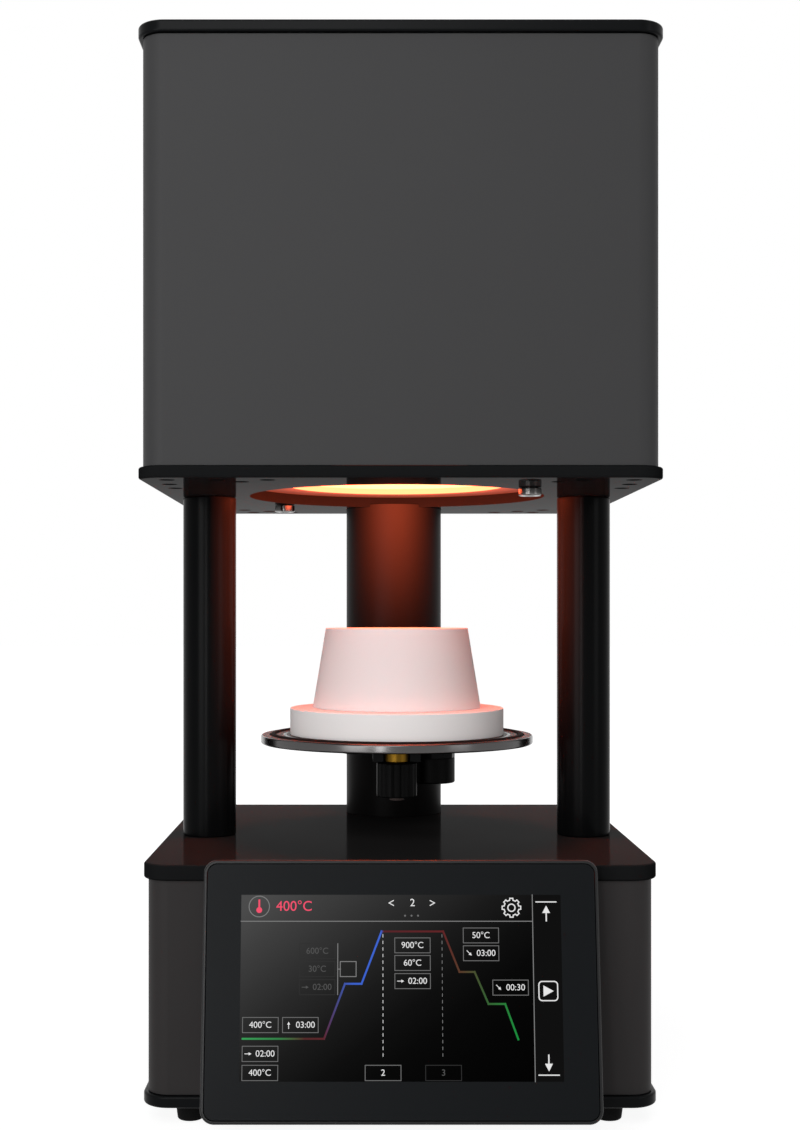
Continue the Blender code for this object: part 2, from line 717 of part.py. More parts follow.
def add_base_shell():
    height = BASE_SHELL_HEIGHT - 2 * PLAY
    location = (0, base_middle_y, base_floor_z + PLAY)
    shell = add_piece("base_shell", shell_ring(base_depth, 0, height), "satin_black_paint", location)
    entry = rounded_rectangle(ENTRY_BODY_WIDTH + 2 * PLAY, ENTRY_BODY_HEIGHT + 2 * PLAY,
                              ENTRY_BODY_CORNER, SLOT_FLAT_COUNT, (ENTRY_SIDE, 0))
    socket = rounded_rectangle(SOCKET_BODY_WIDTH + 2 * PLAY, SOCKET_BODY_HEIGHT + 2 * PLAY,
                               SOCKET_BODY_CORNER, SLOT_FLAT_COUNT, (PUMP_SIDE, -PUMP_SOCKET_DROP))
    nipple = circle(NIPPLE_THREAD_RADIUS + PLAY, SMALL_FLAT_COUNT, (PUMP_SIDE, NIPPLE_RISE))
    windows = [prism(outline, -OVERRUN, SHELL_WALL + OVERRUN) for outline in (entry, socket, nipple)]
    screws = FAN_WIDTH / 2 - FAN_SCREW_INSET
    for side_x, side_z in ((-1, -1), (1, -1), (1, 1), (-1, 1)):
        centre = (FAN_SIDE + side_x * screws, side_z * screws)
        windows.append(cylinder(FAN_SCREW_RADIUS, -OVERRUN, SHELL_WALL + OVERRUN, TINY_FLAT_COUNT, centre))
    cutter = joined(windows + guard_slots())
    cutter.transform(Matrix.Rotation(math.pi / 2, 4, "X"))
    cut(shell, place(cutter, (0, shell_rear - location[1], base_middle_z - location[2])))


def add_columns():
    inner = COLUMN_RADIUS - COLUMN_WALL
    low = base_top_z + PLAY
    length = COLUMN_HEIGHT - 2 * PLAY
    profile = [
        (inner, 0),
        (COLUMN_RADIUS - COLUMN_CHAMFER, 0),
        (COLUMN_RADIUS, COLUMN_CHAMFER),
        (COLUMN_RADIUS, length - COLUMN_CHAMFER),
        (COLUMN_RADIUS - COLUMN_CHAMFER, length),
        (inner, length),
    ]
    for name, side in (("column_left", -1), ("column_right", 1)):
        shape = turned(profile, COLUMN_FLAT_COUNT, closed=True)
        add_piece(name, shape, "gloss_black", (side * column_side, column_y, low))


def add_rear_column():
    inner = REAR_COLUMN_RADIUS - REAR_COLUMN_WALL
    low = base_top_z + PLAY
    length = hood_bottom_z + REAR_COLUMN_SEAT - PLAY - low
    profile = [(inner, 0), (REAR_COLUMN_RADIUS, 0), (REAR_COLUMN_RADIUS, length), (inner, length)]
    shape = turned(profile, REAR_COLUMN_FLAT_COUNT, closed=True)
    column = add_piece("rear_column", shape, "gloss_black", (0, rear_column_y, low))
    half_slot = KEY_WIDTH / 2 + KEY_SIDE_GAP
    slot_low = nut_low_z + KEY_MARGIN - travel_down - KEY_TRAVEL_GAP - low
    slot_high = nut_top_z - KEY_MARGIN + travel_up + KEY_TRAVEL_GAP - low
    cut(column, box((-half_slot, inner / 2, slot_low), (half_slot, REAR_COLUMN_RADIUS + OVERRUN, slot_high)))


def vent_centres():
    """Places of the vent holes in the hood's bottom plate, in plan."""
    centres = []
    for shares, edge, inwards in (
        (FRONT_VENT_SHARES, hood_front, 1),
        (REAR_VENT_SHARES, hood_front + hood_depth, -1),
    ):
        for along, back in shares:
            x = half_width - VENT_MARGIN - along * VENT_PITCH
            y = edge + inwards * (VENT_MARGIN + back * VENT_PITCH)
            centres += [(x, y), (-x, y)]
    return centres


def screw_centres():
    circle_radius = opening_radius + SCREW_CIRCLE_GAP
    return [
        (circle_radius * math.cos(angle), axis_y + circle_radius * math.sin(angle))
        for angle in (FRONT_SCREW_ANGLE, REAR_SCREW_ANGLE)
    ]


def add_hood_plates():
    levels = rounded_slab(case_width, hood_depth, CORNER_RADIUS, 0, HOOD_BOTTOM_THICK, PLATE_EDGE)
    bottom = add_piece("hood_bottom_plate", stack(levels), "black_plate", (0, hood_middle_y, hood_bottom_z))
    origin = (0, hood_middle_y)
    low = -OVERRUN
    high = HOOD_BOTTOM_THICK + OVERRUN
    holes = [
        cylinder(opening_radius, low, high, TABLE_FLAT_COUNT, plan(0, axis_y, origin)),
        cylinder(BEARING_RADIUS + PLAY, low, high, SMALL_FLAT_COUNT, plan(0, rear_column_y, origin)),
    ]
    for x, y in vent_centres():
        holes.append(cylinder(VENT_RADIUS, low, high, TINY_FLAT_COUNT, plan(x, y, origin)))
    for x, y in screw_centres():
        holes.append(cylinder(SCREW_SHANK_RADIUS + PLAY, low, high, TINY_FLAT_COUNT, plan(x, y, origin)))
    for side in (-1, 1):
        centre = plan(side * column_side, column_y, origin)
        holes.append(cylinder(LINE_RADIUS + LINE_HOLE_GAP, low, high, TINY_FLAT_COUNT, centre))
    cut(bottom, joined(holes))
    seat = cylinder(REAR_COLUMN_RADIUS + PLAY, low, REAR_COLUMN_SEAT, REAR_COLUMN_FLAT_COUNT,
                    plan(0, rear_column_y, origin))
    cut(bottom, seat)

    levels = rounded_slab(case_width, hood_depth, CORNER_RADIUS, 0, HOOD_TOP_THICK, PLATE_EDGE)
    add_piece("hood_top_plate", stack(levels), "black_plate", (0, hood_middle_y, hood_ceiling_z))


def add_hood_shell():
    height = hood_ceiling_z - hood_floor_z - 2 * PLAY
    location = (0, hood_middle_y, hood_floor_z + PLAY)
    shell = add_piece("hood_shell", shell_ring(hood_depth, 0, height), "satin_grey_paint", location)
    slots = []
    for number in range(HOOD_SLOT_COUNT):
        x = (number - (HOOD_SLOT_COUNT - 1) / 2) * HOOD_SLOT_PITCH
        outline = slot_outline(HOOD_SLOT_WIDTH, HOOD_SLOT_HEIGHT, (x, -HOOD_SLOT_DROP))
        slots.append(prism(outline, -OVERRUN, SHELL_WALL + OVERRUN))
    cutter = joined(slots)
    cutter.transform(Matrix.Rotation(math.pi / 2, 4, "X"))
    cut(shell, place(cutter, (0, shell_rear - location[1], hood_ceiling_z - location[2])))


def add_flange_screws():
    profile = lower_edge(SCREW_HEAD_RADIUS, 0, SCREW_HEAD_EDGE)
    profile += [
        (SCREW_HEAD_RADIUS, SCREW_HEAD_HEIGHT),
        (SCREW_SHANK_RADIUS, SCREW_HEAD_HEIGHT),
        (SCREW_SHANK_RADIUS, SCREW_HEAD_HEIGHT + SCREW_SHANK_LENGTH),
    ]
    z = hood_bottom_z - PLAY - SCREW_HEAD_HEIGHT
    for name, (x, y) in zip(("flange_screw_front", "flange_screw_rear"), screw_centres()):
        add_piece(name, turned(profile, SMALL_FLAT_COUNT), "bare_steel", (x, y, z))


def ring_profile(inner, outer, height):
    return [(inner, 0), (outer, 0), (outer, height), (inner, height)]


def add_chamber():
    """Seal flange, insulation and steel can, all on the firing axis."""
    rings = (
        ("seal_flange", mouth_radius, seal_flange_radius, seal_flange_z, SEAL_FLANGE_THICK, "steel"),
        ("muffle_collar", mouth_radius, insulation_radius, can_low_z, COLLAR_INSULATION_HEIGHT, "insulation"),
        ("muffle_wall", heater_radius, insulation_radius, wall_low_z, WALL_INSULATION_HEIGHT, "insulation"),
    )
    for name, inner, outer, z, height, finish in rings:
        shape = turned(ring_profile(inner, outer, height), CHAMBER_FLAT_COUNT, closed=True)
        add_piece(name, shape, finish, (0, axis_y, z))

    disc = cylinder(insulation_radius, 0, ROOF_INSULATION_HEIGHT, CHAMBER_FLAT_COUNT)
    roof = add_piece("muffle_roof", disc, "insulation", (0, axis_y, roof_low_z))
    cut(roof, joined([
        cylinder(THERMOCOUPLE_RADIUS + PLAY, -OVERRUN, ROOF_INSULATION_HEIGHT + OVERRUN, TINY_FLAT_COUNT,
                 (0, THERMOCOUPLE_OFFSET)),
        cylinder(TERMINAL_STEM_RADIUS + PLAY, -OVERRUN, ROOF_INSULATION_HEIGHT + OVERRUN, TINY_FLAT_COUNT,
                 (line_landing, COLUMN_BEHIND)),
    ]))

    ceiling = can_ceiling_z - can_low_z
    top = can_top_z - can_low_z
    bore = can_radius - CAN_WALL
    can = add_piece("muffle_can", turned([(bore, ceiling), (bore, 0), (can_radius, 0), (can_radius, top)],
                                         CHAMBER_FLAT_COUNT), "bare_steel", (0, axis_y, can_low_z))
    cut(can, joined([
        cylinder(THERMOCOUPLE_RADIUS + PLAY, ceiling - OVERRUN, top + OVERRUN, TINY_FLAT_COUNT,
                 (0, THERMOCOUPLE_OFFSET)),
        cylinder(TERMINAL_STEM_RADIUS + PLAY, ceiling - OVERRUN, top + OVERRUN, TINY_FLAT_COUNT,
                 (line_landing, COLUMN_BEHIND)),
        cylinder(PORT_STEM_RADIUS + PLAY, ceiling - OVERRUN, top + OVERRUN, TINY_FLAT_COUNT,
                 (-line_landing, COLUMN_BEHIND)),
    ]))


def coil_points():
    """The heating coil's centre line: a helix whose ends bend along the wall to stand upright.

    It is laid out on the unrolled wall, with u round the wall and z up, and then wrapped round the axis.
    """
    start_z = wall_low_z + COIL_END_MARGIN
    end_z = roof_low_z - COIL_END_MARGIN
    run = COIL_TURN_COUNT * math.tau * coil_radius
    slope = math.atan2(end_z - start_z, run)
    straight = 2 * COIL_WIRE_RADIUS
    bend_centre = (run - COIL_BEND_RADIUS * math.sin(slope), end_z + COIL_BEND_RADIUS * math.cos(slope))
    bend = arc(COIL_BEND_RADIUS, slope - math.pi / 2, 0, COIL_BEND_FLAT_COUNT, bend_centre)
    top = bend + [(bend[-1][0], roof_low_z - PLAY - straight), (bend[-1][0], roof_low_z - PLAY)]
    low = [(run - u, start_z + end_z - z) for u, z in bend]
    low = [(low[-1][0], wall_low_z), (low[-1][0], wall_low_z + straight)] + list(reversed(low))
    count = COIL_TURN_COUNT * COIL_TURN_FLAT_COUNT
    middle = [(run * step / count, start_z + (end_z - start_z) * step / count) for step in range(1, count)]
    landing_angle = math.atan2(COLUMN_BEHIND, line_landing)
    end_u = top[-1][0]
    points = []
    for u, z in low + middle + top:
        angle = landing_angle + (u - end_u) / coil_radius
        points.append(Vector((coil_radius * math.cos(angle), coil_radius * math.sin(angle), z)))
    return points


def least_gap(points, radius):
    """The smallest distance between two stretches of a tube that lie over a half turn apart."""
    skip = COIL_TURN_FLAT_COUNT // 2
    least = math.inf
    for here, point in enumerate(points):
        for other in points[here + skip:]:
            least = min(least, (point - other).length)
    return least - 2 * radius


def add_tube(name, points, radius, resolution, finish):
    """A round tube with closed ends along a line of points in world places, its origin at the first one."""
    curve = bpy.data.curves.new(name, "CURVE")
    curve.dimensions = "3D"
    curve.bevel_depth = radius
    curve.bevel_resolution = resolution
    curve.use_fill_caps = True
    line = curve.splines.new("POLY")
    line.points.add(len(points) - 1)
    for spot, point in zip(line.points, points):
        spot.co = (*(point - points[0]), 1.0)
    line.use_smooth = True
    curve.materials.append(finish_material(name, finish))
    tube = bpy.data.objects.new(name, curve)
    bpy.context.collection.objects.link(tube)
    tube.location = points[0]
    return tube


def add_coil():
    points = coil_points()
    add_tube("heating_coil", [point + Vector((0, axis_y, 0)) for point in points], COIL_WIRE_RADIUS, 1,
             "heating_wire")
    print("least gap between the coil's turns:", round(least_gap(points, COIL_WIRE_RADIUS), 5))


def add_chamber_fittings():
    """Thermocouple, heater terminal and vacuum port on the can's lid."""
    reach = roof_low_z - THERMOCOUPLE_REACH
    lid = can_top_z + PLAY - reach
    profile = lower_edge(THERMOCOUPLE_RADIUS, 0, THERMOCOUPLE_RADIUS / 2)
    profile += [(THERMOCOUPLE_RADIUS, lid), (THERMOCOUPLE_HEAD_RADIUS, lid)]
    profile += upper_edge(THERMOCOUPLE_HEAD_RADIUS, lid + THERMOCOUPLE_HEAD_HEIGHT, HEAD_EDGE)
    add_piece("thermocouple", turned(profile, SMALL_FLAT_COUNT), "ceramic",
              (0, axis_y + THERMOCOUPLE_OFFSET, reach))

    lid = can_top_z + PLAY - roof_low_z
    profile = [(TERMINAL_STEM_RADIUS, 0), (TERMINAL_STEM_RADIUS, lid), (TERMINAL_HEAD_RADIUS, lid)]
    profile += upper_edge(TERMINAL_HEAD_RADIUS, lid + TERMINAL_HEAD_HEIGHT, HEAD_EDGE)
    add_piece("heater_terminal", turned(profile, SMALL_FLAT_COUNT), "ceramic",
              (line_landing, column_y, roof_low_z))

    lid = can_top_z + PLAY - can_ceiling_z
    neck = lid + PORT_FLANGE_HEIGHT
    profile = [(PORT_STEM_RADIUS, 0), (PORT_STEM_RADIUS, lid), (PORT_FLANGE_RADIUS, lid),
               (PORT_FLANGE_RADIUS, neck), (PORT_NECK_RADIUS, neck)]
    profile += upper_edge(PORT_NECK_RADIUS, neck + PORT_NECK_HEIGHT, HEAD_EDGE)
    add_piece("vacuum_port", turned(profile, SMALL_FLAT_COUNT), "brass",
              (-line_landing, column_y, can_ceiling_z))


def bezier(start, start_handle, end_handle, end, count):
    """Points along a cubic curve, both ends included."""
    points = []
    for step in range(count + 1):
        t = step / count
        points.append(start * (1 - t) ** 3 + start_handle * (3 * t * (1 - t) ** 2)
                      + end_handle * (3 * t ** 2 * (1 - t)) + end * t ** 3)
    return points


def line_points(start, start_handle_length, side, landing_z):
    """A hose or cable from the base up a front column, over and down onto the can's lid."""
    forward = Vector((0, -1, 0))
    up = Vector((0, 0, 1))
    straight = 2 * LINE_RADIUS
    leaving = start + forward * straight
    rising = Vector((side * column_side, column_y, base_ceiling_z))
    distance = (rising - leaving).length
    first = bezier(leaving, leaving + forward * start_handle_length, rising - up * LINE_END_HANDLE, rising,
                   round(distance / LINE_PITCH) + 1)
    turn_z = landing_z + LINE_TURN_CLEARANCE
    over = []
    for step in range(LINE_BEND_STEP_COUNT + 1):
        angle = math.pi * step / LINE_BEND_STEP_COUNT
        x = side * (line_landing + line_turn_radius * (1 + math.cos(angle)))
        over.append(Vector((x, column_y, turn_z + line_turn_radius * math.sin(angle))))
    end = Vector((side * line_landing, column_y, landing_z + PLAY))
    return [start] + first + over + [end + up * straight, end]


def add_lines():
    hose_start = Vector((PUMP_SIDE, valve_front() - PLAY, base_middle_z + NIPPLE_RISE))
    hose = line_points(hose_start, HOSE_START_HANDLE, -1, port_top_z)
    add_tube("vacuum_hose", hose, LINE_RADIUS, 2, "clear_hose")
    relay_middle = deck_z + SINK_HEIGHT + PLAY + RELAY_HEIGHT / 2
    lead_start = Vector((RELAY_SIDE, hood_front + RELAY_DEPTH - RELAY_LENGTH / 2 - PLAY, relay_middle))
    leads = line_points(lead_start, LEAD_START_HANDLE, 1, terminal_top_z)
    add_tube("heater_leads", leads, LINE_RADIUS, 2, "silicone_red")


def add_table():
    """Disc with its stem; the seal lies in a groove near the rim, with a drip groove inside it."""
    stem = table_rest_z - stem_low_z
    groove = SEAL_SECTION / 2 + PLAY
    groove_depth = SEAL_SECTION - SEAL_PROUD + PLAY
    drip = plinth_radius + DRIP_GROOVE_WIDTH
    profile = [(STEM_RADIUS, -stem), (STEM_RADIUS, 0)]
    profile += lower_edge(TABLE_RADIUS, 0, TABLE_EDGE)
    profile += upper_edge(TABLE_RADIUS, TABLE_THICK, TABLE_EDGE)
    profile += [
        (seal_radius + groove, TABLE_THICK),
        (seal_radius + groove, TABLE_THICK - groove_depth),
        (seal_radius - groove, TABLE_THICK - groove_depth),
        (seal_radius - groove, TABLE_THICK),
        (drip + DRIP_GROOVE_WIDTH, TABLE_THICK),
        (drip + DRIP_GROOVE_WIDTH / 2, TABLE_THICK - DRIP_GROOVE_DEPTH),
        (drip, TABLE_THICK),
    ]
    add_piece("table_disc", turned(profile, TABLE_FLAT_COUNT), "steel", (0, axis_y, table_rest_z))

    half = SEAL_SECTION / 2
    section = circle(half, SEAL_FLAT_COUNT, (seal_radius, half))
    add_piece("table_seal", turned(section, TABLE_FLAT_COUNT, closed=True), "black_rubber",
              (0, axis_y, seal_top_z - SEAL_SECTION))


def add_plinth():
    profile = lower_edge(plinth_radius, 0, PLINTH_EDGE)
    profile += upper_edge(plinth_radius, PLINTH_HEIGHT, PLINTH_EDGE)
    add_piece("plinth_base", turned(profile, TABLE_FLAT_COUNT), "ceramic", (0, axis_y, plinth_low_z))
    profile = lower_edge(cone_foot_radius, 0, CONE_EDGE) + upper_edge(cone_top_radius, CONE_HEIGHT, CONE_EDGE)
    add_piece("plinth_cone", turned(profile, TABLE_FLAT_COUNT), "ceramic", (0, axis_y, cone_low_z))


def add_table_clamp():
    bore = STEM_RADIUS + PLAY
    length = table_rest_z - PLAY - knob_top_z - PLAY
    bush = turned(ring_profile(bore, BUSH_RADIUS, length), SMALL_FLAT_COUNT, closed=True)
    add_piece("table_bush", bush, "brass", (0, axis_y, knob_top_z + PLAY))
    profile = [(bore, 0)] + lower_edge(KNOB_RADIUS, 0, KNOB_EDGE)
    profile += upper_edge(KNOB_RADIUS, KNOB_HEIGHT, KNOB_EDGE) + [(bore, KNOB_HEIGHT)]
    knob = turned(profile, COLUMN_FLAT_COUNT, closed=True)
    add_piece("clamp_knob", knob, "black_plastic", (0, axis_y, knob_low_z))


def arm_outline():
    """The arm from above: a fork open to the front, a straight bar and a round lobe over the boss."""
    fork = BUSH_RADIUS + PLAY
    tail = column_offset - REAR_COLUMN_RADIUS - PLAY - COLLAR_WALL / 2
    lobe = math.acos((ARM_HALF_WIDTH - BOSS_SIDE) / BOSS_RADIUS)
    points = [(fork, -ARM_NOSE), (ARM_HALF_WIDTH, -ARM_NOSE)]
    points += arc(BOSS_RADIUS, -lobe, lobe, CORNER_FLAT_COUNT * 2, (BOSS_SIDE, BOSS_BEHIND))
    points += [(ARM_HALF_WIDTH, tail), (-ARM_HALF_WIDTH, tail)]
    points += [(-ARM_HALF_WIDTH, -ARM_NOSE), (-fork, -ARM_NOSE)]
    points += arc(fork, math.pi, 0, CORNER_FLAT_COUNT * 2)
    return points


def add_lift_arm():
    arm = add_piece("lift_arm", prism(arm_outline(), 0, ARM_THICK), "black_plate", (0, axis_y, arm_low_z))
    profile = ring_profile(REAR_COLUMN_RADIUS + PLAY, collar_radius, COLLAR_HEIGHT)
    collar = turned(profile, REAR_COLUMN_FLAT_COUNT, closed=True)
    unite(arm, place(collar, (0, column_offset, collar_low_z - arm_low_z)))

    profile = [(BOSS_BORE, BOSS_BORE_DEPTH), (BOSS_BORE, 0)] + lower_edge(BOSS_RADIUS, 0, BOSS_EDGE)
    profile.append((BOSS_RADIUS, BOSS_HEIGHT))
    add_piece("arm_boss", turned(profile, COLUMN_FLAT_COUNT), "black_plastic",
              (BOSS_SIDE, axis_y + BOSS_BEHIND, arm_low_z - PLAY - BOSS_HEIGHT))


def add_lift_nut():
    bore = SCREW_RADIUS + PLAY
    outer = REAR_COLUMN_RADIUS - REAR_COLUMN_WALL - NUT_COLUMN_GAP
    ring = turned(ring_profile(bore, outer, NUT_HEIGHT), REAR_COLUMN_FLAT_COUNT, closed=True)
    nut = add_piece("spindle_nut", ring, "brass", (0, rear_column_y, nut_low_z))
    key_tip = math.sqrt(REAR_COLUMN_RADIUS ** 2 - (KEY_WIDTH / 2) ** 2)
    unite(nut, box((-KEY_WIDTH / 2, outer / 2, KEY_MARGIN),
                   (KEY_WIDTH / 2, key_tip, NUT_HEIGHT - KEY_MARGIN)))


def add_lift_screw():
    """Screw, its two flanged bearings, the coupling and the motor below them."""
    length = screw_top_z - screw_low_z
    add_piece("lift_spindle", cylinder(SCREW_RADIUS, 0, length, SMALL_FLAT_COUNT), "bare_steel",
              (0, rear_column_y, screw_low_z))
    bore = SCREW_RADIUS + PLAY
    for name, flange_z, depth in (
        ("spindle_lower_bearing", base_top_z + PLAY, BASE_TOP_THICK),
        ("spindle_upper_bearing", upper_flange_z, HOOD_BOTTOM_THICK - REAR_COLUMN_SEAT),
    ):
        profile = [(bore, -depth), (BEARING_RADIUS, -depth), (BEARING_RADIUS, 0), (BEARING_FLANGE_RADIUS, 0),
                   (BEARING_FLANGE_RADIUS, BEARING_FLANGE_THICK), (bore, BEARING_FLANGE_THICK)]
        add_piece(name, turned(profile, SMALL_FLAT_COUNT, closed=True), "brass", (0, rear_column_y, flange_z))

    profile = lower_edge(COUPLING_RADIUS, 0, COUPLING_EDGE)
    profile += upper_edge(COUPLING_RADIUS, COUPLING_HEIGHT, COUPLING_EDGE)
    profile += [(bore, COUPLING_HEIGHT), (bore, COUPLING_HEIGHT - COUPLING_SOCKET)]
    add_piece("shaft_coupling", turned(profile, SMALL_FLAT_COUNT), "aluminium",
              (0, rear_column_y, coupling_low_z))

    levels = rounded_slab(MOTOR_WIDTH, MOTOR_WIDTH, MOTOR_CORNER, 0, MOTOR_HEIGHT, MOTOR_EDGE,
                          SLOT_FLAT_COUNT)
    motor = add_piece("lift_motor", stack(levels), "satin_black_paint", (0, rear_column_y, deck_z))
    unite(motor, cylinder(MOTOR_PILOT_RADIUS, MOTOR_HEIGHT / 2, MOTOR_HEIGHT + MOTOR_PILOT_HEIGHT,
                          SMALL_FLAT_COUNT))


def display_mount():
    """An empty at the foot of the display's face: +X right, +Z up the leaning face, +Y into it."""
    mount = bpy.data.objects.new("display_mount", None)
    bpy.context.collection.objects.link(mount)
    mount.location = (0, base_front - DISPLAY_REACH, DISPLAY_BOTTOM_HEIGHT)
    mount.rotation_euler = (-DISPLAY_TILT, 0, 0)
    return mount


def add_display():
    mount = display_mount()
    middle = (0, 0, DISPLAY_HEIGHT / 2)
    cavity = GLASS_THICK + LCD_THICK + BOARD_THICK + 3 * PLAY
    levels = rounded_slab(DISPLAY_WIDTH, DISPLAY_HEIGHT, DISPLAY_CORNER, -DISPLAY_THICK, 0, DISPLAY_EDGE)
    inner = rounded_rectangle(DISPLAY_WIDTH - 2 * DISPLAY_RIM, DISPLAY_HEIGHT - 2 * DISPLAY_RIM,
                              DISPLAY_CORNER - DISPLAY_RIM)
    levels += [(inner, 0), (inner, -cavity)]
    add_piece("display_frame", stack(levels), "gloss_black", middle, mount, turn=True)

    glass_inset = 2 * (DISPLAY_RIM + PLAY)
    levels = rounded_slab(DISPLAY_WIDTH - glass_inset, DISPLAY_HEIGHT - glass_inset,
                          DISPLAY_CORNER - DISPLAY_RIM - PLAY, -GLASS_THICK, 0, GLASS_EDGE)
    add_piece("display_glass", stack(levels), "display_glass", middle, mount, turn=True)

    lcd_front = -GLASS_THICK - PLAY
    outline = rounded_rectangle(DISPLAY_WIDTH - 2 * LCD_MARGIN, DISPLAY_HEIGHT - 2 * LCD_MARGIN, LCD_CORNER,
                                SLOT_FLAT_COUNT)
    add_piece("lcd_panel", prism(outline, lcd_front - LCD_THICK, lcd_front), "bare_steel", middle, mount,
              turn=True)

    board_front = lcd_front - LCD_THICK - PLAY
    outline = rounded_rectangle(DISPLAY_WIDTH - 2 * BOARD_MARGIN, DISPLAY_HEIGHT - 2 * BOARD_MARGIN,
                                BOARD_CORNER, SLOT_FLAT_COUNT)
    add_piece("display_board", prism(outline, board_front - BOARD_THICK, board_front), "circuit_board",
              middle, mount, turn=True)


def add_display_housing():
    """Wedge between the upright shell and the leaning display."""
    width = DISPLAY_WIDTH - 2 * HOUSING_SIDE_MARGIN
    height = DISPLAY_HEIGHT - HOUSING_LOW_MARGIN - HOUSING_HIGH_MARGIN
    rise = HOUSING_LOW_MARGIN + height / 2
    depth = DISPLAY_THICK + PLAY
    origin = Vector((0, shell_front - PLAY, DISPLAY_BOTTOM_HEIGHT))
    front = []
    rear = []
    for x, v in rounded_rectangle(width, height, HOUSING_CORNER, centre=(0, rise)):
        y = depth * math.cos(DISPLAY_TILT) + v * math.sin(DISPLAY_TILT) - DISPLAY_REACH - SHELL_INSET + PLAY
        z = v * math.cos(DISPLAY_TILT) - depth * math.sin(DISPLAY_TILT)
        front.append((x, y, z))
        rear.append((x, 0, z))
    add_piece("display_housing", skin([rear, front]), "black_plastic", origin)


def blade(angle):
    """One twisted fan blade, lofted from root to tip; z runs along the fan's axis."""
    root = FAN_HUB_RADIUS - BLADE_ROOT_SINK
    tip = FAN_BORE_RADIUS - FAN_TIP_GAP
    low = BLADE_MARGIN
    high = FAN_THICK - FAN_SPIDER_THICK - PLAY - 2 * BLADE_MARGIN
    sections = []
    for station in range(BLADE_STATION_COUNT):
        share = station / (BLADE_STATION_COUNT - 1)
        radius = root + (tip - root) * share
        chord = BLADE_ROOT_CHORD_ANGLE + (BLADE_TIP_CHORD_ANGLE - BLADE_ROOT_CHORD_ANGLE) * share
        middle = angle + BLADE_SWEEP * share
        half_turn = BLADE_THICK / 2 / radius
        section = []
        for chord_share, z, turn in ((-0.5, low, -1), (0, (low + high) / 2, -1), (0.5, high, -1),
                                     (0.5, high, 1), (0, (low + high) / 2, 1), (-0.5, low, 1)):
            spot = middle + chord * chord_share - turn * half_turn
            height = z + turn * BLADE_THICK / 2
            section.append((radius * math.cos(spot), radius * math.sin(spot), height))
        sections.append(section)
    return skin(sections)


def cross_outline(reach, half):
    """A plus sign with arms of the given reach and half width, anticlockwise."""
    points = []
    for quarter in range(4):
        turn = Matrix.Rotation(quarter * math.pi / 2, 2)
        points += [tuple(turn @ Vector(spot)) for spot in ((half, half), (half, reach), (-half, reach))]
    return points


def add_fan():
    """Square frame, its spider on the inner side, and the impeller before it; z runs inwards."""
    front_y = shell_rear - SHELL_WALL - PLAY
    location = (FAN_SIDE, front_y, base_middle_z)
    levels = rounded_slab(FAN_WIDTH, FAN_WIDTH, FAN_CORNER, 0, FAN_THICK, FAN_EDGE, SLOT_FLAT_COUNT)
    frame = add_piece("fan_frame", stack(levels), "black_plastic", location, turn=True)
    screws = FAN_WIDTH / 2 - FAN_SCREW_INSET
    holes = [cylinder(FAN_BORE_RADIUS, -OVERRUN, FAN_THICK + OVERRUN, COLUMN_FLAT_COUNT)]
    for side_x, side_z in ((-1, -1), (1, -1), (1, 1), (-1, 1)):
        holes.append(cylinder(FAN_SCREW_RADIUS, -OVERRUN, FAN_THICK + OVERRUN, TINY_FLAT_COUNT,
                              (side_x * screws, side_z * screws)))
    cut(frame, joined(holes), turn=True)
    spider = FAN_THICK - FAN_SPIDER_THICK
    strut = FAN_BORE_RADIUS + FAN_EDGE
    cross = cross_outline(strut, FAN_STRUT_WIDTH / 2)
    unite(frame, prism(cross, spider + FAN_EDGE, FAN_THICK - FAN_EDGE), turn=True)
    unite(frame, cylinder(FAN_HUB_RADIUS, spider, FAN_THICK - FAN_EDGE / 2, SMALL_FLAT_COUNT), turn=True)

    profile = lower_edge(FAN_HUB_RADIUS, PLAY, FAN_HUB_EDGE) + [(FAN_HUB_RADIUS, spider - PLAY)]
    impeller = add_piece("fan_impeller", turned(profile, SMALL_FLAT_COUNT), "black_plastic", location,
                         turn=True)
    blades = [blade(math.tau * number / BLADE_COUNT) for number in range(BLADE_COUNT)]
    unite(impeller, joined(blades), turn=True)


def inlet_outline(width, height, chamfer, centre):
    """The inlet's recess: a rectangle with its two upper corners cut off."""
    x, y = centre
    half = width / 2
    rise = height / 2
    return [
        (x - half, y - rise),
        (x + half, y - rise),
        (x + half, y + rise - chamfer),
        (x + half - chamfer, y + rise),
        (x - half + chamfer, y + rise),
        (x - half, y + rise - chamfer),
    ]


def pin_outlines(play, centre):
    """The three contacts of an inlet or socket, seen from behind."""
    x, y = centre
    width = PIN_WIDTH + 2 * play
    height = PIN_HEIGHT + 2 * play
    outlines = []
    for side, rise in ((-1, -PIN_DROP), (0, PIN_RISE), (1, -PIN_DROP)):
        outlines.append(rounded_rectangle(width, height, width * SLOT_CORNER_SHARE, SLOT_FLAT_COUNT,
                                          (x + side * PIN_SPACING, y + rise)))
    return outlines


def flanged_body(flange, body, thickness, edge, depth):
    """Levels of a panel part, flange outside the wall and body through it; z runs inwards."""
    outer = -PLAY - thickness
    width, height, corner = flange
    rim = rounded_rectangle(width - 2 * edge, height - 2 * edge, corner - edge, SLOT_FLAT_COUNT)
    full = rounded_rectangle(width, height, corner, SLOT_FLAT_COUNT)
    inside = rounded_rectangle(*body, SLOT_FLAT_COUNT)
    return [(rim, outer), (full, outer + edge), (full, -PLAY), (inside, -PLAY), (inside, depth)]


